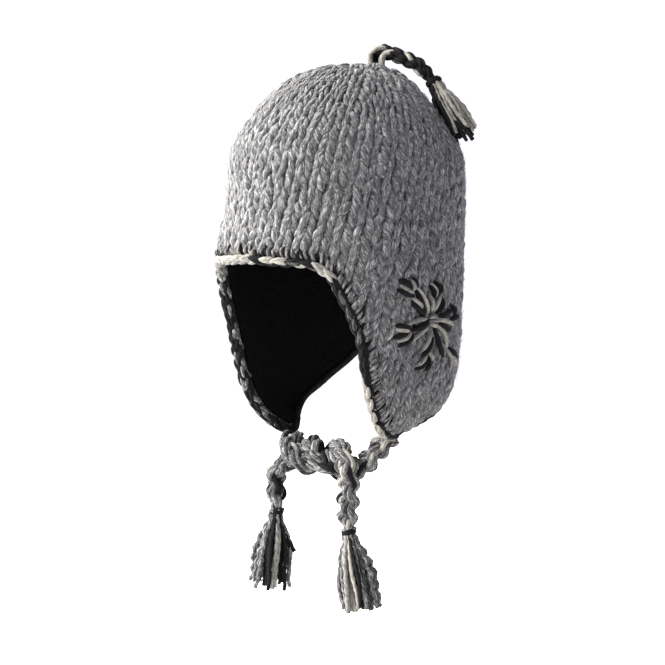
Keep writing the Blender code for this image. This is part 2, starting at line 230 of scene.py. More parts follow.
class YarnBag:
    """Collects yarn tubes and makes one mesh of them, with a tint and a seed for each."""

    def __init__(self) -> None:
        """Starts an empty bag."""
        self.points: list[np.ndarray] = []
        self.faces: list[tuple[np.ndarray, np.ndarray]] = []
        self.tints: list[np.ndarray] = []
        self.seeds: list[np.ndarray] = []
        self.count = 0

    def add(
        self,
        path: np.ndarray,
        yarn: Yarn,
        tint: float | np.ndarray = 1.0,
        seed: float = 0.0,
        start: tuple[float, float, float] = (0.3, 0.5, 0.8),
        closed: bool = False,
    ) -> None:
        """Adds a tube along a path.

        Args:
            path: The yarn's centre line.
            yarn: Its thickness and twist.
            tint: Its place between black and cream, all along or at each point of the path.
            seed: A number that sets its flecks apart from the next yarn's.
            start: A vector beside the path at its start.
            closed: Whether the last point meets the first.
        """
        _, side, over = carried_frames(path, start)
        along = travelled(path)
        rings, sides = len(path), yarn.sides
        thin = 1.0 if closed else 1.0 - yarn.taper * np.abs(np.linspace(-1.0, 1.0, rings)) ** 3
        angle = np.arange(sides) * 2 * math.pi / sides
        turned = 2 * math.pi * along / yarn.ply_length
        reach = yarn.radius * (1.0 + yarn.ply_depth * np.cos(2 * angle[None, :] - turned[:, None]))
        reach = reach * np.broadcast_to(thin, rings)[:, None]
        ring_points = (
            path[:, None, :]
            + side[:, None, :] * (np.cos(angle)[None, :] * reach)[..., None]
            + over[:, None, :] * (np.sin(angle)[None, :] * reach)[..., None]
        ).reshape(-1, 3)
        ring, column = np.meshgrid(np.arange(rings - 1), np.arange(sides), indexing="ij")
        quads = np.stack([(ring + on) * sides + (column + by) % sides for on, by in CORNERS], axis=-1)
        uvs = np.stack(
            [np.stack([(column + by) / sides, along[ring + on] / MM], axis=-1) for on, by in CORNERS], axis=2
        )
        self.faces.append((quads.reshape(-1, 4) + self.count, uvs.reshape(-1, 2)))
        column, last = np.arange(sides), (rings - 1) * sides
        if closed:
            bridge = np.stack([(0 if on else last) + (column + by) % sides for on, by in CORNERS], axis=-1)
            self.faces.append((bridge + self.count, np.zeros((4 * sides, 2))))
        else:
            after = (column + 1) % sides
            for tip, first, second, way in (
                (rings * sides, after, column, 0.0),
                (rings * sides + 1, last + column, last + after, along[-1]),
            ):
                cap = np.stack([np.full(sides, tip), first, second], axis=-1)
                self.faces.append((cap + self.count, np.full((3 * sides, 2), (0.0, way / MM))))
        extra = path[:0] if closed else path[[0, -1]]
        ring_points = np.concatenate([ring_points, extra])
        self.points.append(ring_points)
        along_tint = np.broadcast_to(np.asarray(tint, float), (rings,))
        caps = along_tint[[0, -1]][: len(extra)]
        self.tints.append(np.concatenate([np.repeat(along_tint, sides), caps]))
        self.seeds.append(np.full(len(ring_points), seed))
        self.count += len(ring_points)

    def mesh(self, name: str, marked: bool = True) -> bpy.types.Mesh:
        """Makes the mesh of all the tubes, with a UV map of turns and millimetres.

        Args:
            name: The mesh's name.
            marked: Whether it carries the tints and seeds, which a stitch gets when it is placed.

        Returns:
            The mesh.
        """
        mesh = bpy.data.meshes.new(name)
        points = np.concatenate(self.points)
        loops = np.concatenate([faces.reshape(-1) for faces, _ in self.faces])
        totals = np.concatenate([np.full(len(faces), faces.shape[1]) for faces, _ in self.faces])
        starts = np.concatenate([[0], np.cumsum(totals)[:-1]])
        mesh.vertices.add(len(points))
        mesh.vertices.foreach_set("co", points.astype(np.float32).reshape(-1))
        mesh.loops.add(len(loops))
        mesh.loops.foreach_set("vertex_index", loops.astype(np.int32))
        mesh.polygons.add(len(totals))
        mesh.polygons.foreach_set("loop_start", starts.astype(np.int32))
        mesh.polygons.foreach_set("loop_total", totals.astype(np.int32))
        mesh.update(calc_edges=True)
        uvs = np.concatenate([uv for _, uv in self.faces])
        mesh.uv_layers.new(name="UVMap").data.foreach_set("uv", uvs.astype(np.float32).reshape(-1))
        for label, values in (("tint", self.tints), ("seed", self.seeds)) if marked else ():
            mark(mesh, label, np.concatenate(values))
        mesh.shade_smooth()
        return mesh

    def piece(self, name: str, material: bpy.types.Material) -> bpy.types.Object:
        """Makes the finished object of all the tubes."""
        mesh = self.mesh(name)
        mesh.materials.append(material)
        return new_object(name, mesh)


def dress(item: bpy.types.Object, node: str = "") -> bpy.types.Object:
    """Says what a finished piece rides on and what it stands for, and logs it.

    Args:
        item: The piece.
        node: The solid that it replaces, if it does.

    Returns:
        The piece.
    """
    if node:
        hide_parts(node)
    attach(item, BODY)
    LOG.info("%s: %d triangles", item.name, sum(len(face.vertices) - 2 for face in item.data.polygons))
    return item


def arched_strand(
    name: str, yarn: Yarn, length: float, slant: float, dip: float, rings: int, aside: float = 0.0
) -> bpy.types.Mesh:
    """Makes a strand that rises in its middle; its own Y runs along it and Z out.

    Args:
        name: The mesh's name.
        yarn: Its yarn.
        length: How long it is.
        slant: How far it goes across over its length.
        dip: How far its ends lie under its middle.
        rings: Points along it.
        aside: Where its middle is on the X axis.

    Returns:
        The mesh, without tints or seeds.
    """
    way = np.linspace(0.0, 1.0, rings)
    path = [aside + slant * (way - 0.5), (way - 0.5) * length, -dip * np.abs(2 * way - 1.0) ** 2.0]
    bag = YarnBag()
    bag.add(np.stack(path, axis=1), yarn, start=(0.0, 0.0, -1.0))
    return bag.mesh(name, marked=False)


@dataclass(frozen=True)
class WoolFinish:
    """Two-ply wool, spun from mixed fibres and left matt.

    The mixed fibres give small flecks that wind round the yarn with its twist; the matt, hairy
    surface gives a soft edge without gloss. A yarn's tint picks black, grey heather or cream.
    """

    name: str
    black: tuple[str, str, str]  # the flecks of each wool, from dark to light
    grey: tuple[str, str, str]
    cream: tuple[str, str, str]
    fleck_width: float = 1.1  # mm across the yarn
    fleck_length: float = 4.0  # mm along the yarn
    fibre_width: float = 0.6  # mm; real fibres are 0.03 mm, drawn coarser so that they show
    fibre_length: float = 2.6  # mm
    round_length: float = 16.0  # mm round the yarn
    twist: float = 0.34  # mm that the flecks go round the yarn in each mm along it
    apart: float = 61.0  # how far through the noise each yarn's flecks lie from the next yarn's
    contrast: float = 0.10  # how far the yarns differ from each other
    fibre_contrast: float = 0.18  # how far the fibres of a yarn do
    softness: float = 0.0  # how much light passes through the loose fibres
    fleck_stops: tuple[float, float, float] = (0.37, 0.52, 0.67)  # the noise at the three flecks' colours

    def fleck_noise(self, tree: bpy.types.NodeTree, width: float, length: float) -> bpy.types.Node:
        """Adds a noise of flecks that wind round the yarn.

        Args:
            tree: The material's tree.
            width: Millimetres across a fleck.
            length: Millimetres along a fleck.

        Returns:
            The noise node.
        """
        uv = add_node(tree, "ShaderNodeUVMap", {"uv_map": "UVMap"})
        parts = add_node(tree, "ShaderNodeSeparateXYZ", None, Vector=uv.outputs["UV"])
        seed = add_node(tree, "ShaderNodeAttribute", {"attribute_name": "seed"})
        twisted = add_math(tree, "MULTIPLY", parts.outputs["Y"], self.twist / width)
        place = add_node(
            tree, "ShaderNodeCombineXYZ", None,
            X=add_math(tree, "MULTIPLY_ADD", parts.outputs["X"], self.round_length / width, twisted),
            Y=add_math(tree, "MULTIPLY", parts.outputs["Y"], 1.0 / length),
            Z=add_math(tree, "MULTIPLY", seed.outputs["Fac"], self.apart),
        )
        return add_node(
            tree, "ShaderNodeTexNoise", None,
            Vector=place.outputs[0], Scale=1.0, Detail=2.0, Roughness=0.6, Distortion=0.8,
        )

    def material(self) -> bpy.types.Material:
        """Builds the node material."""
        material, tree, shader = new_material(self.name)
        seed = add_node(tree, "ShaderNodeAttribute", {"attribute_name": "seed"})
        tint = add_node(tree, "ShaderNodeAttribute", {"attribute_name": "tint"})
        flecks = self.fleck_noise(tree, self.fleck_width, self.fleck_length)
        fibres = self.fleck_noise(tree, self.fibre_width, self.fibre_length)
        ramps = []
        for colours in (self.black, self.grey, self.cream):
            ramp = add_node(tree, "ShaderNodeValToRGB", None, Fac=flecks.outputs["Fac"])
            stops = ramp.color_ramp.elements
            stops[0].position, stops[1].position = self.fleck_stops[::2]
            stops.new(self.fleck_stops[1])
            for stop, colour in zip(stops, colours):
                stop.color = linear_colour(colour)
            ramps.append(ramp)
        mixed = ramps[0].outputs["Color"]
        # Tint 0 to 0.5 goes from black to grey, and 0.5 to 1 from grey to cream.
        for ramp, offset in zip(ramps[1:], (0.0, -1.0)):
            share = add_math(tree, "MULTIPLY_ADD", tint.outputs["Fac"], 2.0, offset, clamp=True)
            mix = add_node(
                tree, "ShaderNodeMix", {"data_type": "RGBA"}, i0=share, i6=mixed, i7=ramp.outputs["Color"]
            )
            mixed = mix.outputs[2]
        spread = add_node(
            tree, "ShaderNodeMapRange", None,
            Value=seed.outputs["Fac"], To_Min=1.0 - self.contrast, To_Max=1.0 + self.contrast,
        )
        fine = add_node(
            tree, "ShaderNodeMapRange", None,
            Value=fibres.outputs["Fac"], From_Min=0.3, From_Max=0.7,
            To_Min=1.0 - self.fibre_contrast, To_Max=1.0 + self.fibre_contrast,
        )
        both = add_math(tree, "MULTIPLY", spread.outputs[0], fine.outputs[0])
        shaded = add_node(tree, "ShaderNodeVectorMath", {"operation": "SCALE"}, i0=mixed, Scale=both)
        bump = add_node(
            tree, "ShaderNodeBump", None,
            Strength=0.5, Distance=0.0005, Height=fibres.outputs["Fac"],
        )
        fill(
            tree, shader, Base_Color=shaded.outputs[0], Sheen_Tint=shaded.outputs[0],
            Normal=bump.outputs["Normal"], Roughness=0.95, IOR=1.45, Specular_IOR_Level=0.12,
            Sheen_Weight=0.3, Sheen_Roughness=0.6, Subsurface_Weight=self.softness,
            Subsurface_Scale=0.0022, Subsurface_Radius=(1.0, 0.95, 0.9),
        )
        return material


@dataclass(frozen=True)
class FleeceFinish:
    """Black polyester fleece, brushed to a short matt pile that swallows the light; its hollows get painted
    shade.
    """

    name: str = "black_brushed_fleece"
    # the colour of the pile's hollows, darker than its tips: painted shade
    deep: str = "#030304"
    tips: str = "#0A0A0C"
    nub: float = 2.2  # mm between the pile's nubs

    def material(self) -> bpy.types.Material:
        """Builds the node material."""
        material, tree, shader = new_material(self.name)
        where = add_node(tree, "ShaderNodeTexCoord")
        nubs = add_node(
            tree, "ShaderNodeTexNoise", None,
            Vector=where.outputs["Object"], Scale=1.0 / (self.nub * MM), Detail=3.0, Roughness=0.65,
        )
        ramp = add_node(tree, "ShaderNodeValToRGB", None, Fac=nubs.outputs["Fac"])
        # Where the bump is low the pile gets the darker colour: painted shade in its hollows.
        for stop, position, colour in zip(ramp.color_ramp.elements, (0.35, 0.68), (self.deep, self.tips)):
            stop.position, stop.color = position, linear_colour(colour)
        bump = add_node(
            tree, "ShaderNodeBump", None, Strength=0.7, Distance=0.0012, Height=nubs.outputs["Fac"]
        )
        fill(
            tree, shader, Base_Color=ramp.outputs["Color"], Normal=bump.outputs["Normal"],
            Roughness=1.0, Specular_IOR_Level=0.05,
        )
        return material


@dataclass
class HatForm:
    """The rule of the hat's outside, the same as the solids follow; sizes in metres.

    Turns are in degrees from the middle of the brow over the wearer's left ear, depths are
    measured down from the crown's top, and a way is the distance along the mean profile.
    """

    length: float = 0.202
    width: float = 0.176
    crown_depth: float = 0.095
    brow_depth: float = 0.1495
    nape_depth: float = 0.2155
    flap_depth: float = 0.2965
    setback: float = 0.033
    flare: float = 0.008
    flare_start: float = -0.35  # the cosine of the turn at which the brow's flare begins
    flare_span: float = 0.9
    tuck_start: float = 74.0  # degrees of turn at which the edge goes behind the knitting
    tuck_span: float = 12.0
    wall: float = 0.005
    lining: float = 0.0025
    gap: float = 0.0003
    crown_sections: tuple = (
        (0.0, 0.0), (0.018, 0.200), (0.070, 0.380), (0.190, 0.565), (0.316, 0.700),
        (0.440, 0.800), (0.568, 0.886), (0.695, 0.949), (0.840, 0.988), (1.0, 1.0),
    )
    wall_sections: tuple = (
        (0.0, 1.0), (0.18, 1.0), (0.50, 0.972), (0.66, 0.958), (0.74, 0.943),
        (0.81, 0.918), (0.88, 0.875), (0.93, 0.820), (0.97, 0.752), (1.0, 0.690),
    )
    front_rim: tuple = (
        (0.0, 0.0, 0.0), (22.0, 0.013, 0.013), (35.0, 0.029, 0.029), (42.0, 0.078, 0.078),
        (46.5, 0.152, 0.152), (51.5, 0.269, 0.269), (55.5, 0.371, 0.371), (58.5, 0.469, 0.469),
        (60.0, 0.575, 0.580), (61.5, 0.670, 0.688), (65.5, 0.806, 0.838), (73.0, 0.922, 0.952),
        (82.0, 0.959, 1.0),
    )
    back_rim: tuple = (
        (91.0, 0.864, 0.890), (102.5, 0.802, 0.690), (112.0, 0.735, 0.575), (120.0, 0.636, 0.460),
        (128.0, 0.500, 0.346), (136.0, 0.340, 0.216), (149.0, 0.148, 0.093), (164.0, 0.031, 0.025),
        (180.0, 0.0, 0.0),
    )
    dents: tuple = (
        (120.0, 30.0, 0.05, 0.07, 0.45), (-60.0, 35.0, 0.16, 0.10, 0.35), (60.0, 30.0, 0.40, 0.14, 0.30),
        (95.0, 25.0, 0.62, 0.12, -0.35), (-95.0, 25.0, 0.66, 0.12, -0.30), (180.0, 40.0, 0.50, 0.12, 0.40),
    )
    top: float = field(init=False)
    profile: np.ndarray = field(init=False)
    ways: np.ndarray = field(init=False)
    wall_curve: np.ndarray = field(init=False)
    rims: dict = field(init=False)

    def __post_init__(self) -> None:
        """Works out the profile and the two sides of the edge once."""
        self.top = self.lining + self.gap + self.wall
        self.wall_curve = smooth_curve(self.wall_sections)
        crown = smooth_curve([(depth * self.crown_depth, radius) for depth, radius in self.crown_sections])
        deep = np.linspace(self.crown_depth, self.flap_depth * 1.03, 200)[1:]
        wall = np.stack([deep, self.wall_radius(deep)], axis=1)
        self.profile = np.concatenate([crown, wall])
        self.ways = travelled(self.profile * (1.0, (self.width + self.length) / 4))
        self.rims = {side: self.half_rim(side) for side in ("left", "right")}

    def wall_radius(self, depth: np.ndarray) -> np.ndarray:
        """Radius share below the widest section."""
        down = (np.asarray(depth) - self.crown_depth) / (self.flap_depth - self.crown_depth)
        return np.interp(down, self.wall_curve[:, 0], self.wall_curve[:, 1])

    def dent(self, turn: np.ndarray, depth: np.ndarray) -> np.ndarray:
        """How far the soft dents push the cloth inwards."""
        push = np.zeros(np.broadcast(turn, depth).shape)
        for middle, half_turn, level, half_level, share in self.dents:
            aside = (turn - middle + 180.0) % 360.0 - 180.0
            spread = (aside / half_turn) ** 2 + ((depth / self.flap_depth - level) / half_level) ** 2
            push = push + share * self.wall * np.exp(-spread)
        return push

    def outside(self, turn: np.ndarray, depth: np.ndarray, radius: np.ndarray) -> np.ndarray:
        """Places points of the knitting's outside.

        Args:
            turn: Turns in degrees.
            depth: Depths in metres.
            radius: Radius shares of the widest section.

        Returns:
            The points.
        """
        angle = np.radians(turn)
        front = smoothstep((np.cos(angle) - self.flare_start) / self.flare_span)
        low = smoothstep((depth - self.crown_depth) / (self.brow_depth - self.crown_depth)) ** 2
        spare = smoothstep((self.flap_depth - depth) / (self.flap_depth - self.brow_depth))
        outward = self.flare * front * low * spare - self.dent(turn, depth)
        small = np.minimum(radius, 1.0)
        x = (self.width / 2 * radius + outward * small) * np.sin(angle)
        y = self.setback * (1.0 - small) ** 3 - (self.length / 2 * radius + outward * small) * np.cos(angle)
        z = self.top - depth - np.maximum(self.dent(turn, depth), 0.0) * (1.0 - small)
        return np.stack([x, y, z], axis=-1)

    def at_way(self, turn: np.ndarray, way: np.ndarray) -> np.ndarray:
        """Places points from their turns and their ways along the mean profile."""
        depth = np.interp(way, self.ways, self.profile[:, 0])
        radius = np.interp(way, self.ways, self.profile[:, 1])
        return self.outside(turn, depth, radius)

    def depth_at(self, way: np.ndarray) -> np.ndarray:
        """Depth below the crown's top at a way along the mean profile."""
        return np.interp(way, self.ways, self.profile[:, 0])

    def way_at(self, depth: np.ndarray) -> np.ndarray:
        """Way along the mean profile at a depth."""
        return np.interp(depth, self.profile[:, 0], self.ways)

    def half_rim(self, side: str) -> np.ndarray:
        """Turns and depths of one side's edge, from the brow to the nape."""
        pick = {"left": 1, "right": 2}[side]
        front, back = self.flap_depth - self.brow_depth, self.flap_depth - self.nape_depth
        rows = [(row[0], self.brow_depth + row[pick] * front) for row in self.front_rim]
        rows += [(row[0], self.nape_depth + row[pick] * back) for row in self.back_rim]
        unroll = math.pi * self.width / 360.0
        curve = smooth_curve([(turn * unroll, depth) for turn, depth in rows])
        curve[:, 0] = np.clip(curve[:, 0] / unroll, 0.0, 180.0)
        return curve

    def rim_depth(self, turn: np.ndarray) -> np.ndarray:
        """Depth of the edge at turns from -180 to 180 degrees."""
        left = np.interp(np.abs(turn), self.rims["left"][:, 0], self.rims["left"][:, 1])
        right = np.interp(np.abs(turn), self.rims["right"][:, 0], self.rims["right"][:, 1])
        return np.where(turn >= 0.0, left, right)

    def tucked(self, turn: np.ndarray) -> np.ndarray:
        """How far the edge is tucked behind the knitting, from 0 in front to 1 at the back."""
        return smoothstep((np.abs(turn) - self.tuck_start) / self.tuck_span)

    def whole_rim(self, count: int) -> np.ndarray:
        """Turns and depths evenly along the whole edge, from the brow over the left ear."""
        right = self.rims["right"][-2:0:-1] * (-1.0, 1.0)
        turns_depths = np.concatenate([self.rims["left"], right, self.rims["left"][:1]])
        placed = self.outside(turns_depths[:, 0], turns_depths[:, 1], self.wall_radius(turns_depths[:, 1]))
        turns_depths[len(self.rims["left"]) :, 0] += 360.0
        turns_depths[-1, 0] = 360.0
        even = spaced(turns_depths, count + 1, placed)[:-1]
        even[:, 0] = np.where(even[:, 0] > 180.0, even[:, 0] - 360.0, even[:, 0])
        return even

    def axes(self, turn: np.ndarray, way: np.ndarray) -> tuple[np.ndarray, ...]:
        """Finds the outside's place and directions.

        Args:
            turn: Turns in degrees.
            way: Ways along the mean profile.

        Returns:
            The points, and unit vectors across to the wearer's left, up the wale and out.
        """
        here = self.at_way(turn, way)
        down = unit(self.at_way(turn, way + 0.001) - self.at_way(turn, way - 0.001))
        across = self.at_way(turn + 0.5, way) - self.at_way(turn - 0.5, way)
        normal = unit(np.cross(across, -down))
        return here, unit(np.cross(-down, normal)), -down, normal

    def rim_frames(self, count: int) -> tuple[np.ndarray, ...]:
        """Frames evenly along the cloth's edge.

        Args:
            count: How many frames.

        Returns:
            Turns, the middle of the cloth, and unit vectors along the edge, out and past the cloth.
        """
        rim = self.whole_rim(count)
        here, _, up, normal = self.axes(rim[:, 0], self.way_at(rim[:, 1]))
        along = unit(np.roll(here, -1, axis=0) - np.roll(here, 1, axis=0))
        normal = unit(normal - along * np.sum(normal * along, axis=1, keepdims=True))
        past = unit(np.cross(along, normal))
        past *= -np.sign(np.sum(past * up, axis=1, keepdims=True))
        # On a flap's steep edges the way past the cloth is level, so it is followed round the edge.
        for index in range(1, count):
            if past[index].dot(past[index - 1]) < 0.0:
                past[index] = -past[index]
        middle = here - normal * (self.wall + self.gap + self.lining) / 2
        return rim[:, 0], middle, along, normal, past


def plan_object(name: str, points: np.ndarray, attributes: dict[str, np.ndarray]) -> bpy.types.Object:
    """Makes an object of loose points that carry attributes for a Geometry Nodes tree.

    Args:
        name: The object's name.
        points: The points.
        attributes: Values or vectors by name, one for each point.

    Returns:
        The object.
    """
    mesh = bpy.data.meshes.new(name)
    mesh.vertices.add(len(points))
    mesh.vertices.foreach_set("co", points.astype(np.float32).reshape(-1))
    for label, values in attributes.items():
        mark(mesh, label, values)
    return new_object(name, mesh)


def stitch_tree() -> bpy.types.NodeTree:
    """Builds the tree that sets a stitch on every planned point and turns it to the cloth."""
    tree = bpy.data.node_groups.new("stitches_on_cloth", "GeometryNodeTree")
    tree.is_modifier = True
    for label, kind in (
        ("Plan", "NodeSocketGeometry"), ("Stitch", "NodeSocketObject"), ("Unevenness", "NodeSocketFloat"),
        ("Seed", "NodeSocketInt"), ("Finish", "NodeSocketMaterial"),
    ):
        tree.interface.new_socket(label, in_out="INPUT", socket_type=kind)
    tree.interface.new_socket("Fabric", in_out="OUTPUT", socket_type="NodeSocketGeometry")
    given = add_node(tree, "NodeGroupInput")
    across, normal, size = (
        add_node(tree, "GeometryNodeInputNamedAttribute", {"data_type": "FLOAT_VECTOR"}, Name=label)
        for label in ("across", "normal", "size")
    )
    facing = add_node(
        tree, "FunctionNodeAxesToRotation", {"primary_axis": "Z", "secondary_axis": "X"},
        i0=normal.outputs["Attribute"], i1=across.outputs["Attribute"],
    )
    chance = add_node(
        tree, "FunctionNodeRandomValue", {"data_type": "FLOAT_VECTOR"},
        i0=(-1.0, -1.0, -1.0), i1=(1.0, 1.0, 1.0), Seed=given.outputs["Seed"],
    )
    tilt = add_node(
        tree, "ShaderNodeVectorMath", {"operation": "SCALE"},
        i0=chance.outputs["Value"], Scale=given.outputs["Unevenness"],
    )
    turned = add_node(
        tree, "FunctionNodeRotateRotation", {"rotation_space": "LOCAL"},
        i0=facing.outputs["Rotation"], i1=tilt.outputs["Vector"],
    )
    shape = add_node(
        tree, "GeometryNodeObjectInfo", {"transform_space": "ORIGINAL"}, Object=given.outputs["Stitch"]
    )
    spread = add_node(
        tree, "GeometryNodeInstanceOnPoints", None,
        Points=given.outputs["Plan"], Instance=shape.outputs["Geometry"],
        Rotation=turned.outputs["Rotation"], Scale=size.outputs["Attribute"],
    )
    geometry = spread.outputs["Instances"]
    for label in ("tint", "seed"):
        carried = add_node(tree, "GeometryNodeInputNamedAttribute", {"data_type": "FLOAT"}, Name=label)
        stored = add_node(
            tree, "GeometryNodeStoreNamedAttribute", {"data_type": "FLOAT", "domain": "INSTANCE"},
            Geometry=geometry, Name=label, Value=carried.outputs["Attribute"],
        )
        geometry = stored.outputs["Geometry"]
    real = add_node(tree, "GeometryNodeRealizeInstances", None, Geometry=geometry)
    dressed = add_node(
        tree, "GeometryNodeSetMaterial", None,
        Geometry=real.outputs["Geometry"], Material=given.outputs["Finish"],
    )
    add_node(tree, "NodeGroupOutput", None, Fabric=dressed.outputs["Geometry"])
    return tree


class StitchMaker:
    """Sets one small shape on many planned points with Geometry Nodes."""

    def __init__(self) -> None:
        """Builds the tree once."""
        self.tree = stitch_tree()

    def spread(
        self,
        name: str,
        shape: bpy.types.Mesh,
        points: np.ndarray,
        across: np.ndarray,
        normal: np.ndarray,
        size: np.ndarray,
        tint: np.ndarray,
        seed: np.ndarray,
        unevenness: float,
        finish: bpy.types.Material,
    ) -> bpy.types.Object:
        """Makes one plain mesh of all the placed shapes.

        Args:
            name: The piece's name.
            shape: The mesh of one stitch, with its own X across, Y up and Z out.
            points: Where the stitches sit.
            across: Each stitch's X direction.
            normal: Each stitch's Z direction.
            size: Each stitch's scale on its own axes.
            tint: Each yarn's place between black and cream.
            seed: Each yarn's own number from 0 to 1.
            unevenness: The largest random tilt, in radians.
            finish: The material.

        Returns:
            The finished object.
        """
        stitch = new_object(name + "_stitch", shape)
        plan = plan_object(
            name + "_plan", points,
            {"across": across, "normal": normal, "size": size, "tint": tint, "seed": seed},
        )
        modifier = plan.modifiers.new("stitches", "NODES")
        modifier.node_group = self.tree
        values = {"Stitch": stitch, "Unevenness": unevenness, "Seed": len(points), "Finish": finish}
        for socket in self.tree.interface.items_tree:
            if socket.item_type == "SOCKET" and socket.in_out == "INPUT" and socket.name in values:
                modifier[socket.identifier] = values[socket.name]
        graph = bpy.context.evaluated_depsgraph_get()
        mesh = bpy.data.meshes.new_from_object(
            plan.evaluated_get(graph), preserve_all_data_layers=True, depsgraph=graph
        )
        mesh.name = name
        plan.modifiers.clear()
        for leftover in (plan, stitch):
            bpy.data.objects.remove(leftover, do_unlink=True)
        return new_object(name, mesh)


def joined(name: str, items: list[bpy.types.Object]) -> bpy.types.Object:
    """Joins objects into one that keeps their attributes and has the given name."""
    with bpy.context.temp_override(
        active_object=items[0], object=items[0], selected_objects=items, selected_editable_objects=items
    ):
        bpy.ops.object.join()
    items[0].name = name
    items[0].data.name = name
    return items[0]


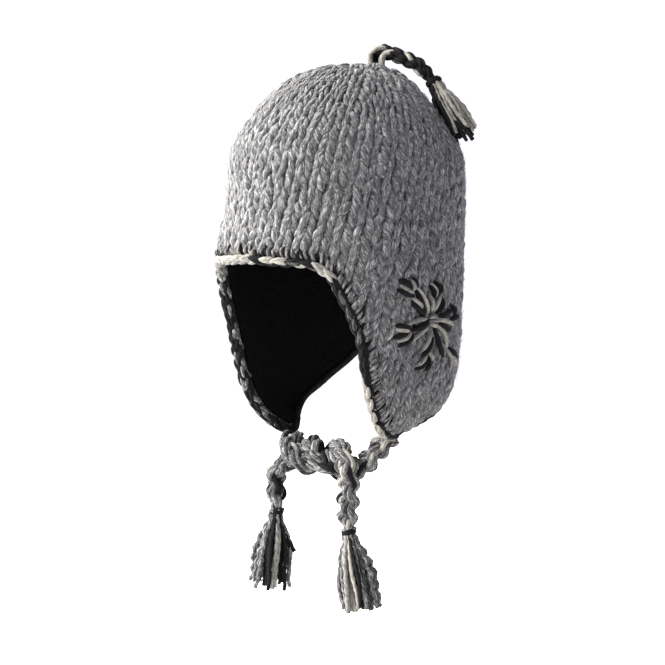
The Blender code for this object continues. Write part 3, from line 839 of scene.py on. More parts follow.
@dataclass
class KnitFabric:
    """The stocking-stitch knitting: pairs of slanting yarn legs over a backing wall tinted dark as painted
    shade.

    Sizes in metres. The wales run from the edge up to the gather and become fewer on the crown.
    """

    form: HatForm
    maker: StitchMaker
    finish: bpy.types.Material
    sectors: int = 11
    wales: int = 4  # in each sector at the widest section
    course: float = 0.0074
    longest: float = 0.40  # more than any wale's length
    nominal_wale: float = 0.0135
    yarn: Yarn = Yarn(radius=0.0027, sides=8, ply_depth=0.08, ply_length=0.013, taper=0.62)
    side_yarn: Yarn = Yarn(radius=0.0031, sides=8, ply_depth=0.08, ply_length=0.013, taper=0.62)
    leg_length: float = 0.0142
    leg_aside: float = 0.0034  # how far a leg's middle is from the wale's
    crown_slant: float = 0.0036  # how far a leg leans outwards over its length
    side_slant: float = 0.0050
    dip: float = 0.0018  # how far a leg's ends lie under its middle
    sunk: float = 0.0026  # how far the legs' middles lie under the solid's outside
    overhang: float = 0.0032  # how far the knitting hangs over the edge that is tucked behind it
    shown: float = 0.0026  # how much less it does so under the left flap
    shown_from: tuple[float, float] = (86.0, 6.0)  # degrees of turn where that starts, and over how many
    shown_to: tuple[float, float] = (106.0, 10.0)
    ahead: float = 6.0  # degrees of turn by which the knitting's end comes before the trim's
    reach_over: float = 0.0015  # how far a leg may go on past the edge
    shortest: float = 0.2  # the least share of a leg's lower half that is still drawn
    lean: float = 135.0  # degrees of turn in each metre up the wale: the knitting's bias
    decreases: tuple = ((0.034, 1), (0.062, 2), (0.090, 3))  # distance from the gather, wales left above it
    blend: float = 0.016  # how long two wales take to run together
    pull: float = 0.8  # how near they come
    edge_room: float = 0.0016
    tilt: float = 0.15  # the stitches' largest random tilt, in radians
    backing_columns: int = 168
    backing_rings: int = 60
    backing_depth: float = 0.0038  # how far the backing's front lies under the solid's outside
    # the backing's tint, dark as painted shade in the gaps between the legs
    backing_shade_tint: float = 0.2
    crown_end: float = 0.115  # distance from the gather at which the crown's piece ends
    gather: tuple[float, float] = (0.045, 0.035)  # where the gathered stitches thin out, and over how far
    gather_sink: float = 0.0012  # how much deeper the gathered stitches lie
    lift_range: tuple[float, float] = (-0.0007, 0.0018)  # how far a stitch may stand in or out
    jitter: tuple[float, float] = (0.35, 0.3)  # mm by which stitches lie off, and how much more when loose
    loose: tuple[float, float] = (0.10, 0.12)  # distance at which the knitting gets loose, and over how far
    widths: tuple[float, float] = (0.45, 1.25)  # the least and most of a stitch's scale across
    depths: tuple[float, float] = (0.7, 1.05)  # and outwards
    depth_rule: tuple[float, float] = (0.55, 0.45)  # its scale outwards: a fixed part, and one with its width
    width_spread: float = 0.07
    length_spread: float = 0.06

    def wale_layout(self, distance: float) -> list[tuple[float, float]]:
        """Places and widths of the wales of one sector at a distance from the gather.

        Args:
            distance: Metres along the cloth from the gather.

        Returns:
            Middles and widths as shares of the sector.
        """
        count = self.wales
        for limit, left in reversed(self.decreases):
            if distance < limit:
                count = left
        middles = (np.arange(count) + 0.5) / count
        widths = np.full(count, 1.0 / count)
        limit = max((limit for limit, left in self.decreases if left == count - 1), default=None)
        if limit is not None and distance < limit + self.blend and count > 1:
            near = 1.0 - (distance - limit) / self.blend
            fewer = count - 1
            goal = np.array([(min(k, fewer - 1) + 0.5) / fewer for k in range(count)])
            goal_width = np.array([1.0 / fewer] * (fewer - 1) + [0.5 / fewer] * 2)
            goal[-2] -= 0.2 / fewer
            goal[-1] += 0.2 / fewer
            middles = middles + (goal - middles) * near * self.pull
            widths = widths + (goal_width - widths) * near * self.pull
        return list(zip(middles, widths))

    def plan(self) -> np.ndarray:
        """Plans every stitch: rows of its turn, its way, its width and its distance from the gather."""
        ways = np.linspace(0.0, self.form.ways[-1], 420)
        rows = []
        for row in range(1, int(self.longest / self.course)):
            distance = (row + 0.35) * self.course
            layout = self.wale_layout(distance)
            for sector in range(self.sectors):
                for middle, width in layout:
                    turn = (sector + middle) * 360.0 / self.sectors - self.lean * (distance - 0.2)
                    turn = (turn + 180.0) % 360.0 - 180.0
                    along = travelled(self.form.at_way(np.full(len(ways), turn), ways))
                    if distance <= along[-1]:
                        way = np.interp(distance, along, ways)
                        rows.append((turn, way, width * 360.0 / self.sectors, distance))
        return np.array(rows).T

    @staticmethod
    def risen(value: np.ndarray, rise: tuple[float, float]) -> np.ndarray:
        """How far values have gone up a rise, which is given by its start and its length."""
        return smoothstep((value - rise[0]) / rise[1])

    def legs(self) -> list[bpy.types.Object]:
        """Makes the legs of all stitches, in pieces of the crown and both sides."""
        form = self.form
        rim = form.whole_rim(900)
        rim_points = form.outside(rim[:, 0], rim[:, 1], form.wall_radius(rim[:, 1]))
        generator = np.random.default_rng(11)
        turn, way, span, distance = self.plan()
        here, across, up, normal = form.axes(turn, way)
        wide = np.linalg.norm(form.at_way(turn + span / 2, way) - form.at_way(turn - span / 2, way), axis=1)
        biased = np.radians(self.lean) * wide / np.radians(span)
        up = unit(up + across * biased[:, None])
        across = np.cross(up, normal)
        depth = form.depth_at(way)
        half = self.leg_length / 2
        parts: dict[str, list[bpy.types.Object]] = {}
        for hand in (-1, 1):
            scale = wide / self.nominal_wale
            leg_turn = (turn + hand * span / 4 + 180.0) % 360.0 - 180.0
            room = form.rim_depth(leg_turn) - depth
            leg_middle = here + across * (hand * self.leg_aside * scale)[:, None]
            apart = np.linalg.norm(leg_middle[:, None, :] - rim_points[None, ::3, :], axis=2).min(axis=1)
            inside = np.where(room > 0.0, apart, -apart)
            tucked = form.tucked(np.abs(leg_turn) + self.ahead)
            shown = self.risen(leg_turn, self.shown_from) * (1.0 - self.risen(leg_turn, self.shown_to))
            margin = self.edge_room * (1.0 - tucked) - (self.overhang - self.shown * shown) * tucked
            low = np.clip(np.where(tucked > 0.5, inside - margin, room) + self.reach_over, 0.0, half)
            kept = (inside > margin) & (low > self.shortest * half)
            count = len(turn)
            gathered = 1.0 - self.risen(distance, self.gather)[:, None]
            off = self.jitter[0] + self.jitter[1] * self.risen(distance, self.loose)
            jitter = generator.normal(0.0, 1.0, (count, 3)) * off[:, None] * MM
            place = here - normal * (self.sunk + self.gather_sink * gathered)
            place = place + across * jitter[:, :1] + up * jitter[:, 1:2]
            place = place + normal * np.clip(jitter[:, 2:3] * (1.0 + 4.0 * gathered), *self.lift_range)
            place = place + up * ((half - low) / 2)[:, None]
            size = np.stack(
                [np.clip(scale, *self.widths) * generator.normal(1.0, self.width_spread, count),
                 (half + low) / (2 * half) * generator.normal(1.0, self.length_spread, count),
                 np.clip(self.depth_rule[0] + self.depth_rule[1] * scale, *self.depths)], axis=1,
            )
            seed = generator.random(count)
            crown = distance < self.crown_end
            for name, region, slant, yarn in (
                ("knit_crown", crown, self.crown_slant, self.yarn),
                ("knit_left_side", ~crown & (turn >= 0.0), self.side_slant, self.side_yarn),
                ("knit_right_side", ~crown & (turn < 0.0), self.side_slant, self.side_yarn),
            ):
                chosen = kept & region
                shape = arched_strand(
                    "leg", yarn, self.leg_length, hand * slant, self.dip, 8, hand * self.leg_aside
                )
                parts.setdefault(name, []).append(
                    self.maker.spread(
                        f"{name}_{'left' if hand < 0 else 'right'}_legs", shape, place[chosen],
                        across[chosen], normal[chosen], size[chosen],
                        np.full(chosen.sum(), Shade.GREY.value), seed[chosen], self.tilt, self.finish,
                    )
                )
        return [joined(name, items) for name, items in parts.items()]

    def backing(self) -> bpy.types.Object:
        """The wall under the legs, which shows only in the gaps between them; its dark tint is painted shade
        there.
        """
        outer, normals = cloth_grid(self.form, self.backing_columns, self.backing_rings)
        front, back = outer - normals * self.backing_depth, outer - normals * self.form.wall
        points, faces = closed_wall(front, back, self.backing_columns)
        # The backing's dark tint is painted shade between the legs.
        return plain_piece("knit_backing", points, faces, self.finish, self.backing_shade_tint)

    def build(self) -> None:
        """Builds and dresses the knitting."""
        dress(self.backing(), "knit_shell")
        for item in self.legs():
            dress(item)


def cloth_grid(form: HatForm, columns: int, rings: int) -> tuple[np.ndarray, np.ndarray]:
    """Points of the outside from the gather to the edge, with their normals.

    Args:
        form: The hat's rule.
        columns: Points round the hat.
        rings: Rings from the gather to the edge.

    Returns:
        The gather point followed by the rings, and a normal for each point.
    """
    rim = form.whole_rim(columns)
    even = np.linspace(0.0, 360.0, columns, endpoint=False)
    even = np.where(even > 180.0, even - 360.0, even)
    points, normals = [form.at_way(np.zeros(1), np.zeros(1))], [np.array([[0.0, 0.0, 1.0]])]
    for ring in range(1, rings + 1):
        share = ring / rings
        lean = smoothstep((share - 0.25) / 0.75)
        turns = even + (rim[:, 0] - even) * lean
        ways = form.way_at(rim[:, 1]) * share
        here, _, _, normal = form.axes(turns, ways)
        points.append(here)
        normals.append(normal)
    return np.concatenate(points), np.concatenate(normals)


def closed_wall(outer: np.ndarray, inner: np.ndarray, columns: int) -> tuple[np.ndarray, list]:
    """Joins two skins of the same grid along their edge into one closed wall.

    Args:
        outer: The outer skin's points.
        inner: The inner skin's points.
        columns: Points in each ring.

    Returns:
        All points, and faces that point out of the wall.
    """
    count = len(outer)
    rings = (count - 1) // columns
    faces = [(0, 1 + j, 1 + (j + 1) % columns) for j in range(columns)]
    for ring in range(rings - 1):
        for j in range(columns):
            a, b = 1 + ring * columns + j, 1 + ring * columns + (j + 1) % columns
            faces.append((a, a + columns, b + columns, b))
    faces += [tuple(count + i for i in reversed(face)) for face in faces]
    last = count - columns
    for j in range(columns):
        a, b = last + j, last + (j + 1) % columns
        faces.append((a, count + a, count + b, b))
    return np.concatenate([outer, inner]), faces


def plain_piece(
    name: str, points: np.ndarray, faces: list, material: bpy.types.Material, tint: float
) -> bpy.types.Object:
    """Makes an object with one material, and one tint and seed all over."""
    mesh = bpy.data.meshes.new(name)
    mesh.from_pydata([tuple(point) for point in points], [], faces)
    mesh.uv_layers.new(name="UVMap")
    for label, value in (("tint", tint), ("seed", 0.0)):
        mark(mesh, label, np.full(len(points), value))
    mesh.materials.append(material)
    mesh.shade_smooth()
    return new_object(name, mesh)


@dataclass
class FleeceLining:
    """The lining: one soft cloth inside the knitting."""

    form: HatForm
    finish: bpy.types.Material
    columns: int = 144
    rings: int = 56
    unevenness: float = 0.0003

    def build(self) -> bpy.types.Object:
        """Builds and dresses the lining."""
        form = self.form
        outer, normals = cloth_grid(form, self.columns, self.rings)
        near, far = form.wall + form.gap, form.wall + form.gap + form.lining
        ripple = np.sin(outer[:, 0] * 420 + outer[:, 2] * 160) * np.sin(outer[:, 2] * 300 + outer[:, 1] * 210)
        inner = outer - normals * (far + self.unevenness * ripple)[:, None]
        points, faces = closed_wall(outer - normals * near, inner, self.columns)
        item = plain_piece("fleece_cloth", points, faces, self.finish, Shade.BLACK.value)
        return dress(item, "fleece_lining")


@dataclass(frozen=True)
class WhipYarn:
    """One of the two yarns that sew the edge on; metres."""

    hidden: float  # the share of its stitches that doesn't show
    reach: tuple[float, float]  # how far up the knitting the stitches go
    radius: tuple[float, float]
    brow_radius: tuple[float, float]
    brow_sunk: float  # how deep their ends lie over the brow
    tints: tuple[float, float] | None = None  # without them it is black


@dataclass
class CrochetEdge:
    """The crocheted edge: a core with rows of slanting chain strands round it; metres."""

    form: HatForm
    maker: StitchMaker
    finish: bpy.types.Material
    width: float = 0.0092
    height: float = 0.0082
    standout: float = 0.002
    yarn: Yarn = Yarn(radius=0.0020, sides=10, ply_depth=0.10, ply_length=0.060, taper=0.80)
    core_yarn: Yarn = Yarn(radius=0.0033, sides=8, ply_depth=0.0)
    strand_length: float = 0.0160
    strand_slant: float = 0.0034
    strand_dip: float = 0.0020
    spacing: float = 0.0104
    tuck: float = 0.0036  # how far the edge goes inwards where it is tucked
    overlap: float = 0.0010  # how far it goes over the cloth's end there
    slimmed: float = 0.2  # how much of its section it loses there
    proud: float = 0.0003  # how far the strands stand over the section's outline
    tilt: float = 0.13  # the strands' largest random tilt, in radians
    sewn_turn: float = 73.0  # degrees of turn up to which the stitches show
    brow_turn: float = 34.0  # degrees of turn up to which they are thicker and closer
    below: float = 0.0024  # how far they start below the cloth's end
    sunk: float = 0.0028  # how deep their ends lie elsewhere
    arch: float = 0.0036  # how high their middles rise
    whip_yarns: tuple[WhipYarn, WhipYarn] = (
        WhipYarn(0.32, (0.0035, 0.0085), (0.0006, 0.0009), (0.0008, 0.0012), 0.0020),
        WhipYarn(0.10, (0.0036, 0.0072), (0.0012, 0.0017), (0.0012, 0.0017), 0.0028, (0.48, 0.66)),
    )
    # The angle of each row round the core, from straight out towards straight down, and the way it slants.
    rows: tuple = ((-30.0, -1.0), (16.0, 1.0), (66.0, -1.0), (112.0, 1.0), (165.0, -1.0))
    # From turn, to turn, and the shades of the upper, outer, lower and inner rows; S is black with a few grey.
    colours: tuple = (
        (-83, -63, "CCBS"), (-63, -46, "BBSS"), (-46, 4, "CTTG"),
        (4, 9.5, "BBBB"), (9.5, 20, "CCBB"), (20, 24.5, "BBBB"), (24.5, 30, "BKCB"),
        (30, 37, "BBKB"), (37, 43, "CCCB"), (43, 46, "BBBB"), (46, 48.5, "BBBC"),
        (48.5, 57, "BKBB"), (57, 61, "BBBB"), (61, 75, "BCCC"), (75, 112, "BBKB"),
        (112, 130, "KKGB"),
        (-130, -83, "BBSB"),
    )

    def tints(self, turn: np.ndarray, angle: float, generator: np.random.Generator) -> np.ndarray:
        """Colours of one row's strands: cream and black yarns come and go along the edge."""
        wave = np.sin(np.radians(turn) * 9.0 + angle) + generator.normal(0.0, 0.5, len(turn))
        tint = np.where(wave > 0.35, Shade.CREAM.value, Shade.BLACK.value)
        column = int(np.searchsorted([0.0, 40.0, 100.0], angle))
        sparse = np.where(generator.random(len(turn)) < 0.3, Shade.GREY.value, Shade.BLACK.value)
        for row in self.colours:
            inside = (turn >= row[0]) & (turn < row[1])
            letter = row[2][column]
            tint = np.where(inside, sparse if letter == "S" else LETTERS[letter].value, tint)
        return tint

    def core_line(
        self, turn: np.ndarray, middle: np.ndarray, normal: np.ndarray, past: np.ndarray, slimmed: float = 0.0
    ) -> tuple[np.ndarray, np.ndarray]:
        """Finds the middle of the edge past the cloth's end.

        Args:
            turn: Turns of the places along the edge.
            middle: The middle of the cloth there.
            normal: Unit vectors out of the cloth.
            past: Unit vectors past its end.
            slimmed: How much of the height is lost where the edge is tucked.

        Returns:
            The points, and how much of the edge's section is left at each.
        """
        tucked = self.form.tucked(turn)[:, None]
        slim = 1.0 - slimmed * tucked
        over = self.form.gap + self.height / 2 * slim - self.overlap * tucked
        return middle + past * over + normal * (self.standout - self.tuck * tucked), slim

    def chain(self, generator: np.random.Generator) -> list[bpy.types.Object]:
        """Makes the core and the rows of slanting strands round it."""
        form = self.form
        turn, middle, _, normal, past = form.rim_frames(720)
        total = travelled(np.concatenate([middle, middle[:1]]))[-1]
        bag = YarnBag()
        core = self.core_line(turn, middle, normal, past)[0]
        bag.add(core[::2], self.core_yarn, tint=Shade.BLACK.value, closed=True)
        items = [bag.piece("edge_core", self.finish)]
        turn, middle, along, normal, past = form.rim_frames(int(total / self.spacing) * 2)
        for index, (angle, slant) in enumerate(self.rows):
            pick = slice(index // 2 % 2, None, 2)
            rise, drop = math.cos(math.radians(angle)), math.sin(math.radians(angle))
            out = rise * normal[pick] + drop * past[pick]
            centre, slim = self.core_line(turn[pick], middle[pick], normal[pick], past[pick], self.slimmed)
            reach_w = (self.width / 2 - self.yarn.radius + self.proud) * rise * slim
            reach_h = (self.height / 2 - self.yarn.radius + self.proud) * drop * slim
            place = centre + normal[pick] * reach_w + past[pick] * reach_h
            across = unit(np.cross(along[pick], out))
            size = generator.normal(1.0, 0.08, (len(place), 3))
            strand = arched_strand(
                "chain_strand", self.yarn, self.strand_length, slant * self.strand_slant, self.strand_dip, 9
            )
            tint = self.tints(turn[pick], angle, generator)
            items.append(
                self.maker.spread(
                    f"edge_row_{index}", strand, place, across, out, size, tint,
                    generator.random(len(place)), self.tilt, self.finish,
                )
            )
        return items

    def whip_stitches(self, generator: np.random.Generator) -> bpy.types.Object:
        """Makes the stitches that sew the chain to the knitting, just above it."""
        form = self.form
        turn, middle, along, normal, past = form.rim_frames(440)
        bag = YarnBag()
        way = np.linspace(0.0, 1.0, 9)
        for index in range(len(turn)):
            yarn = self.whip_yarns[index % 2]
            if abs(turn[index]) > self.sewn_turn or generator.random() < yarn.hidden:
                continue
            brow = abs(turn[index]) < self.brow_turn
            reach = generator.uniform(*yarn.reach)
            slant = generator.uniform(0.0, 0.0022) + (0.0032 if turn[index] > 30.0 else 0.0)
            outside = middle[index] + normal[index] * (form.wall + form.gap + form.lining) / 2
            lift = self.arch * np.sin(math.pi * way) ** 0.6 - (yarn.brow_sunk if brow else self.sunk)
            aside = along[index] * generator.uniform(-0.0009, 0.0009)
            bow = 0.0016 * np.sin(math.pi * way) * generator.uniform(-0.5, 1.0)
            path = (
                outside
                + aside
                + past[index] * (self.below - (reach + self.below) * way)[:, None]
                - along[index] * (slant * (way - 0.2) + bow)[:, None]
                + normal[index] * lift[:, None]
            )
            radius = generator.uniform(*(yarn.brow_radius if brow else yarn.radius))
            tint = generator.uniform(*yarn.tints) if yarn.tints else Shade.BLACK.value
            bag.add(
                path, Yarn(radius, 6, 0.1, 0.008, 0.5), tint=tint,
                seed=generator.random(), start=tuple(-normal[index]),
            )
        return bag.piece("whip_stitches", self.finish)

    def build(self) -> None:
        """Builds and dresses the edge and the stitches that hold it."""
        generator = np.random.default_rng(5)
        dress(joined("crocheted_chain", self.chain(generator)), "crochet_edge")
        dress(self.whip_stitches(generator))


@dataclass
class Snowflake:
    """The snowflake that is embroidered on each flap with doubled yarn."""

    form: HatForm
    finish: bpy.types.Material
    black_radius: float = 0.0023
    light_radius: float = 0.0017
    longer: float = 0.09  # how far each stitch runs on at both ends, as a share of its length
    # Each stitch: its shade, then its start, middle and end as turns and depths in millimetres.
    stitches: tuple = (
        ("C", 89.0, 194.5, 85.3, 184.8, 81.3, 176.3), ("B", 87.0, 195.9, 83.5, 186.8, 81.0, 178.5),
        ("C", 85.0, 192.2, 82.0, 187.7, 78.5, 184.0), ("B", 86.0, 196.8, 81.5, 191.3, 78.0, 185.8),
        ("B", 79.5, 182.2, 75.5, 180.4, 72.0, 177.6), ("T", 79.5, 180.4, 76.0, 177.6, 73.0, 174.0),
        ("C", 79.0, 177.6, 79.0, 174.9, 78.0, 170.3), ("B", 78.0, 175.8, 75.0, 172.1, 72.5, 170.3),
        ("B", 80.0, 175.8, 80.0, 173.0, 79.0, 169.4), ("T", 91.5, 194.1, 90.5, 187.7, 89.0, 182.2),
        ("B", 95.0, 195.9, 98.5, 190.4, 98.0, 184.9), ("C", 93.5, 194.1, 94.5, 187.7, 98.0, 182.2),
        ("B", 92.5, 184.0, 91.5, 179.4, 89.5, 175.8), ("C", 93.5, 183.1, 92.5, 178.5, 90.5, 174.0),
        ("B", 94.5, 181.3, 96.5, 178.5, 97.0, 174.9), ("B", 94.5, 178.5, 94.0, 175.8, 93.0, 173.0),
        ("B", 97.5, 199.6, 103.0, 197.7, 109.0, 195.0), ("B", 109.5, 192.2, 112.0, 195.0, 113.5, 198.6),
        ("B", 109.0, 202.3, 113.0, 201.4, 120.0, 201.4), ("C", 96.0, 201.4, 103.0, 203.2, 112.0, 206.9),
        ("B", 97.0, 205.0, 102.5, 208.7, 109.0, 210.5), ("C", 96.0, 206.0, 102.0, 213.3, 105.5, 222.4),
        ("T", 107.0, 226.1, 111.0, 233.4, 113.0, 242.5), ("B", 95.0, 208.7, 98.0, 220.6, 104.0, 230.6),
        ("B", 108.5, 225.2, 114.5, 229.7, 120.0, 235.2), ("C", 113.0, 231.5, 116.0, 235.2, 117.5, 239.8),
        ("T", 92.0, 209.6, 89.5, 216.9, 87.5, 224.2), ("B", 93.5, 216.0, 90.5, 223.3, 86.5, 228.8),
        ("T", 90.0, 228.8, 87.0, 232.5, 84.0, 236.1), ("B", 89.5, 232.5, 87.5, 236.1, 84.0, 237.9),
        ("C", 91.0, 226.1, 93.0, 229.7, 94.0, 232.5), ("B", 92.0, 231.5, 91.5, 236.1, 91.0, 239.8),
        ("T", 88.0, 200.5, 82.0, 200.5, 76.5, 204.1), ("B", 89.5, 203.2, 85.0, 206.0, 80.0, 207.8),
        ("B", 79.0, 206.9, 74.5, 205.0, 71.0, 204.1), ("C", 78.0, 208.7, 74.5, 207.8, 71.0, 206.9),
        ("B", 77.0, 210.5, 74.0, 211.4, 71.0, 213.3), ("C", 79.0, 210.5, 76.0, 214.2, 72.5, 216.0),
        ("B", 80.5, 213.3, 77.0, 216.9, 73.0, 219.7), ("T", 89.5, 206.9, 84.5, 210.5, 80.5, 216.0),
        ("G", 93.5, 200.4, 94.5, 202.2, 96.0, 203.1), ("C", 91.5, 204.5, 93.0, 205.5, 95.5, 205.5),
        ("G", 90.5, 199.6, 92.5, 198.6, 95.0, 200.5), ("G", 93.5, 204.1, 92.5, 202.3, 90.5, 202.3),
    )

    def build(self, side: int) -> bpy.types.Object:
        """Builds one snowflake.

        Args:
            side: 1 for the wearer's left flap, -1 for the right one, where it is mirrored.

        Returns:
            The finished object.
        """
        generator = np.random.default_rng(8 if side > 0 else 9)
        bag = YarnBag()
        for shade, *places in self.stitches:
            knots = np.array(places).reshape(-1, 2)
            run_on = (knots[-1] - knots[0]) * self.longer
            knots[0], knots[-1] = knots[0] - run_on, knots[-1] + run_on
            run = smooth_curve(knots, 6)
            here, _, _, normal = self.form.axes(side * run[:, 0], self.form.way_at(run[:, 1] * MM))
            way = np.linspace(0.0, 1.0, len(run))
            short = np.linalg.norm(here[-1] - here[0]) < 0.007
            black = shade == "B"
            height = 0.0036 if black else 0.0042
            lift = -0.0022 + height * np.sin(math.pi * np.clip(way, 0.02, 0.98)) ** 0.45
            path = here + normal * lift[:, None]
            size = (self.black_radius if black else self.light_radius) * generator.uniform(0.9, 1.12)
            bag.add(
                path, Yarn(size * (0.8 if short else 1.0), 8, 0.05, 0.020, 0.5),
                tint=LETTERS[shade].value, seed=generator.random(), start=tuple(-normal[0]),
            )
        item = bag.piece("left_snowflake" if side > 0 else "right_snowflake", self.finish)
        return dress(item)


@dataclass
class LooseFibres:
    """Fine wool hairs that stand off the knitting and soften its outline; metres."""

    form: HatForm
    maker: StitchMaker
    finish: bpy.types.Material
    count: int = 5200
    length: float = 0.0065
    radius: float = 0.00013
    tints: tuple[float, float] = (0.45, 0.9)
    tilt: float = 0.25  # the largest random tilt, in radians

    def hair(self) -> bpy.types.Mesh:
        """One curved hair; its own Y runs along it."""
        way = np.linspace(0.0, 1.0, 5)
        path = np.stack([0.0009 * np.sin(way * 4.0), (way - 0.5) * self.length, 0.0012 * way * way], axis=1)
        bag = YarnBag()
        bag.add(path, Yarn(self.radius, 3, 0.0, 0.01, 0.6), start=(1.0, 0.0, 0.0))
        return bag.mesh("hair", marked=False)

    def build(self) -> bpy.types.Object:
        """Spreads the hairs over the knitting."""
        form = self.form
        generator = np.random.default_rng(21)
        turn = generator.uniform(-180.0, 180.0, self.count * 2)
        way = form.ways[-1] * np.sqrt(generator.uniform(0.02, 1.0, self.count * 2))
        kept = form.depth_at(way) < form.rim_depth(turn) - 0.002
        turn, way = turn[kept][: self.count], way[kept][: self.count]
        here, across, up, normal = form.axes(turn, way)
        angle = generator.normal(0.0, 0.8, len(turn))
        across = across * np.cos(angle)[:, None] + up * np.sin(angle)[:, None]
        lift = generator.uniform(-0.0006, 0.0008, len(turn))
        size = generator.uniform(0.5, 1.4, (len(turn), 3))
        item = self.maker.spread(
            "loose_fibres", self.hair(), here + normal * lift[:, None], across, normal, size,
            generator.uniform(*self.tints, len(turn)), generator.random(len(turn)), self.tilt, self.finish,
        )
        return dress(item)


@dataclass(frozen=True)
class PlaitSize:
    """How a three-strand plait is made; metres."""

    width: float
    thickness: float
    pitch: float
    yarn: Yarn
    strands: tuple[str, str, str]  # the shades of the yarns in each strand
    root_shade: tuple[float, str] = (0.0, "C")  # how far the first yarns have another shade, and which
    sunk: float = 0.0  # how far the plait runs on into the cloth at its root
    root_draw: float = 0.2  # how far it draws in at its root
    end_draw: float = 0.5  # how far it draws in under its binding
    tightened: float = 0.010  # over what length it draws in
    spacing: float = 0.0011  # between the points along it
    strand_turn: float = 0.060  # one turn of a strand's yarns
    bundled: float = 1.6  # how far the yarns lie from the middle of their strand, in their own radii
    core: float = 0.75  # the core's radius, as a share of that


@dataclass
class Plait:
    """A three-strand plait along a route; metres."""

    name: str
    node: str
    route: tuple
    size: PlaitSize
    finish: bpy.types.Material
    start_side: tuple[float, float, float] = (1.0, 0.0, 0.0)

    def centre_line(self) -> np.ndarray:
        """The route as closely spaced points, run on backwards into the cloth."""
        curve, spacing = smooth_curve(self.route), self.size.spacing
        line = spaced(curve, int(travelled(curve)[-1] / spacing))
        back = np.arange(int(self.size.sunk / spacing), 0, -1)[:, None] * spacing
        return np.concatenate([line[0] + unit(line[0] - line[2]) * back, line])

    def build(self) -> bpy.types.Object:
        """Builds and dresses the plait: three strands, each a bundle of yarns round a black core."""
        size, line = self.size, self.centre_line()
        _, side, over = carried_frames(line, self.start_side)
        gone = travelled(line)
        turned = 2 * math.pi * gone / size.pitch
        bag = YarnBag()
        bundle = size.yarn.radius * size.bundled
        core = Yarn(bundle * size.core, 6, 0.0, 0.010, 0.0)
        drawn = 1.0 - size.end_draw * smoothstep(1.0 - (gone[-1] - gone) / size.tightened)
        drawn = drawn * (1.0 - size.root_draw * smoothstep(1.0 - gone / size.tightened))
        swing = (size.width / 2 - size.yarn.radius - bundle) * drawn
        lift = (size.thickness / 2 - size.yarn.radius - bundle) * drawn
        for index, strand in enumerate(size.strands):
            phase = turned + 2 * math.pi * index / 3
            middle = line + side * (swing * np.sin(phase))[:, None] + over * (lift * np.sin(2 * phase))[:, None]
            bag.add(middle, core, tint=Shade.BLACK.value, seed=0.1 * index)
            for number, letter in enumerate(strand):
                spin = 2 * math.pi * (number / len(strand) + gone / size.strand_turn) + index
                ring = side * np.cos(spin)[:, None] + over * np.sin(spin)[:, None]
                tint = np.full(len(line), LETTERS[letter].value)
                if number == 0:
                    tint = np.where(gone < size.root_shade[0], LETTERS[size.root_shade[1]].value, tint)
                bag.add(
                    middle + ring * (bundle * drawn)[:, None], size.yarn, tint=tint,
                    seed=(0.17 + 0.31 * index + 0.13 * number) % 1.0,
                )
        return dress(bag.piece(self.name, self.finish), self.node)


@dataclass(frozen=True)
class TasselSize:
    """How a tassel is made; metres."""

    fall: tuple[float, float, float]  # the way it hangs
    length: float
    width: float
    yarns: int
    bands: tuple  # how far across, as shares of the half width, each shade reaches
    seed: int
    band_way: tuple[float, float, float] = (0.7071, 0.7071, 0.0)  # the way across the bands
    strays: tuple = ()  # the angle, drop and reach of the black yarns that stick out
    crimped: tuple[float, float] = (2.0, 2.0)  # the places across between which the yarns are frayed
    fuller: float = 1.14  # how far the loose yarns fall outside the solid
    neck: float = 0.0  # the least width under the binding, as a share of the whole
    yarn_radius: float = 0.0019
    binding_radius: float = 0.0050
    binding_drop: float = 0.0020  # how far the binding starts under the tassel's top
    binding_yarn: float = 0.0011
    binding_turns: float = 2.5
    binding_height: float = 0.0026
    wave: float = 0.0010  # how far the yarns wave
    crimp: tuple[float, float] = (0.0010, 0.0002)  # how far frayed and plain yarns crimp
    drift: float = 0.0012  # how far they wander sideways
    flare: tuple = ((0.0, 0.26), (0.10, 0.24), (0.18, 0.30), (0.34, 0.62), (0.6, 0.86), (1.0, 0.93))


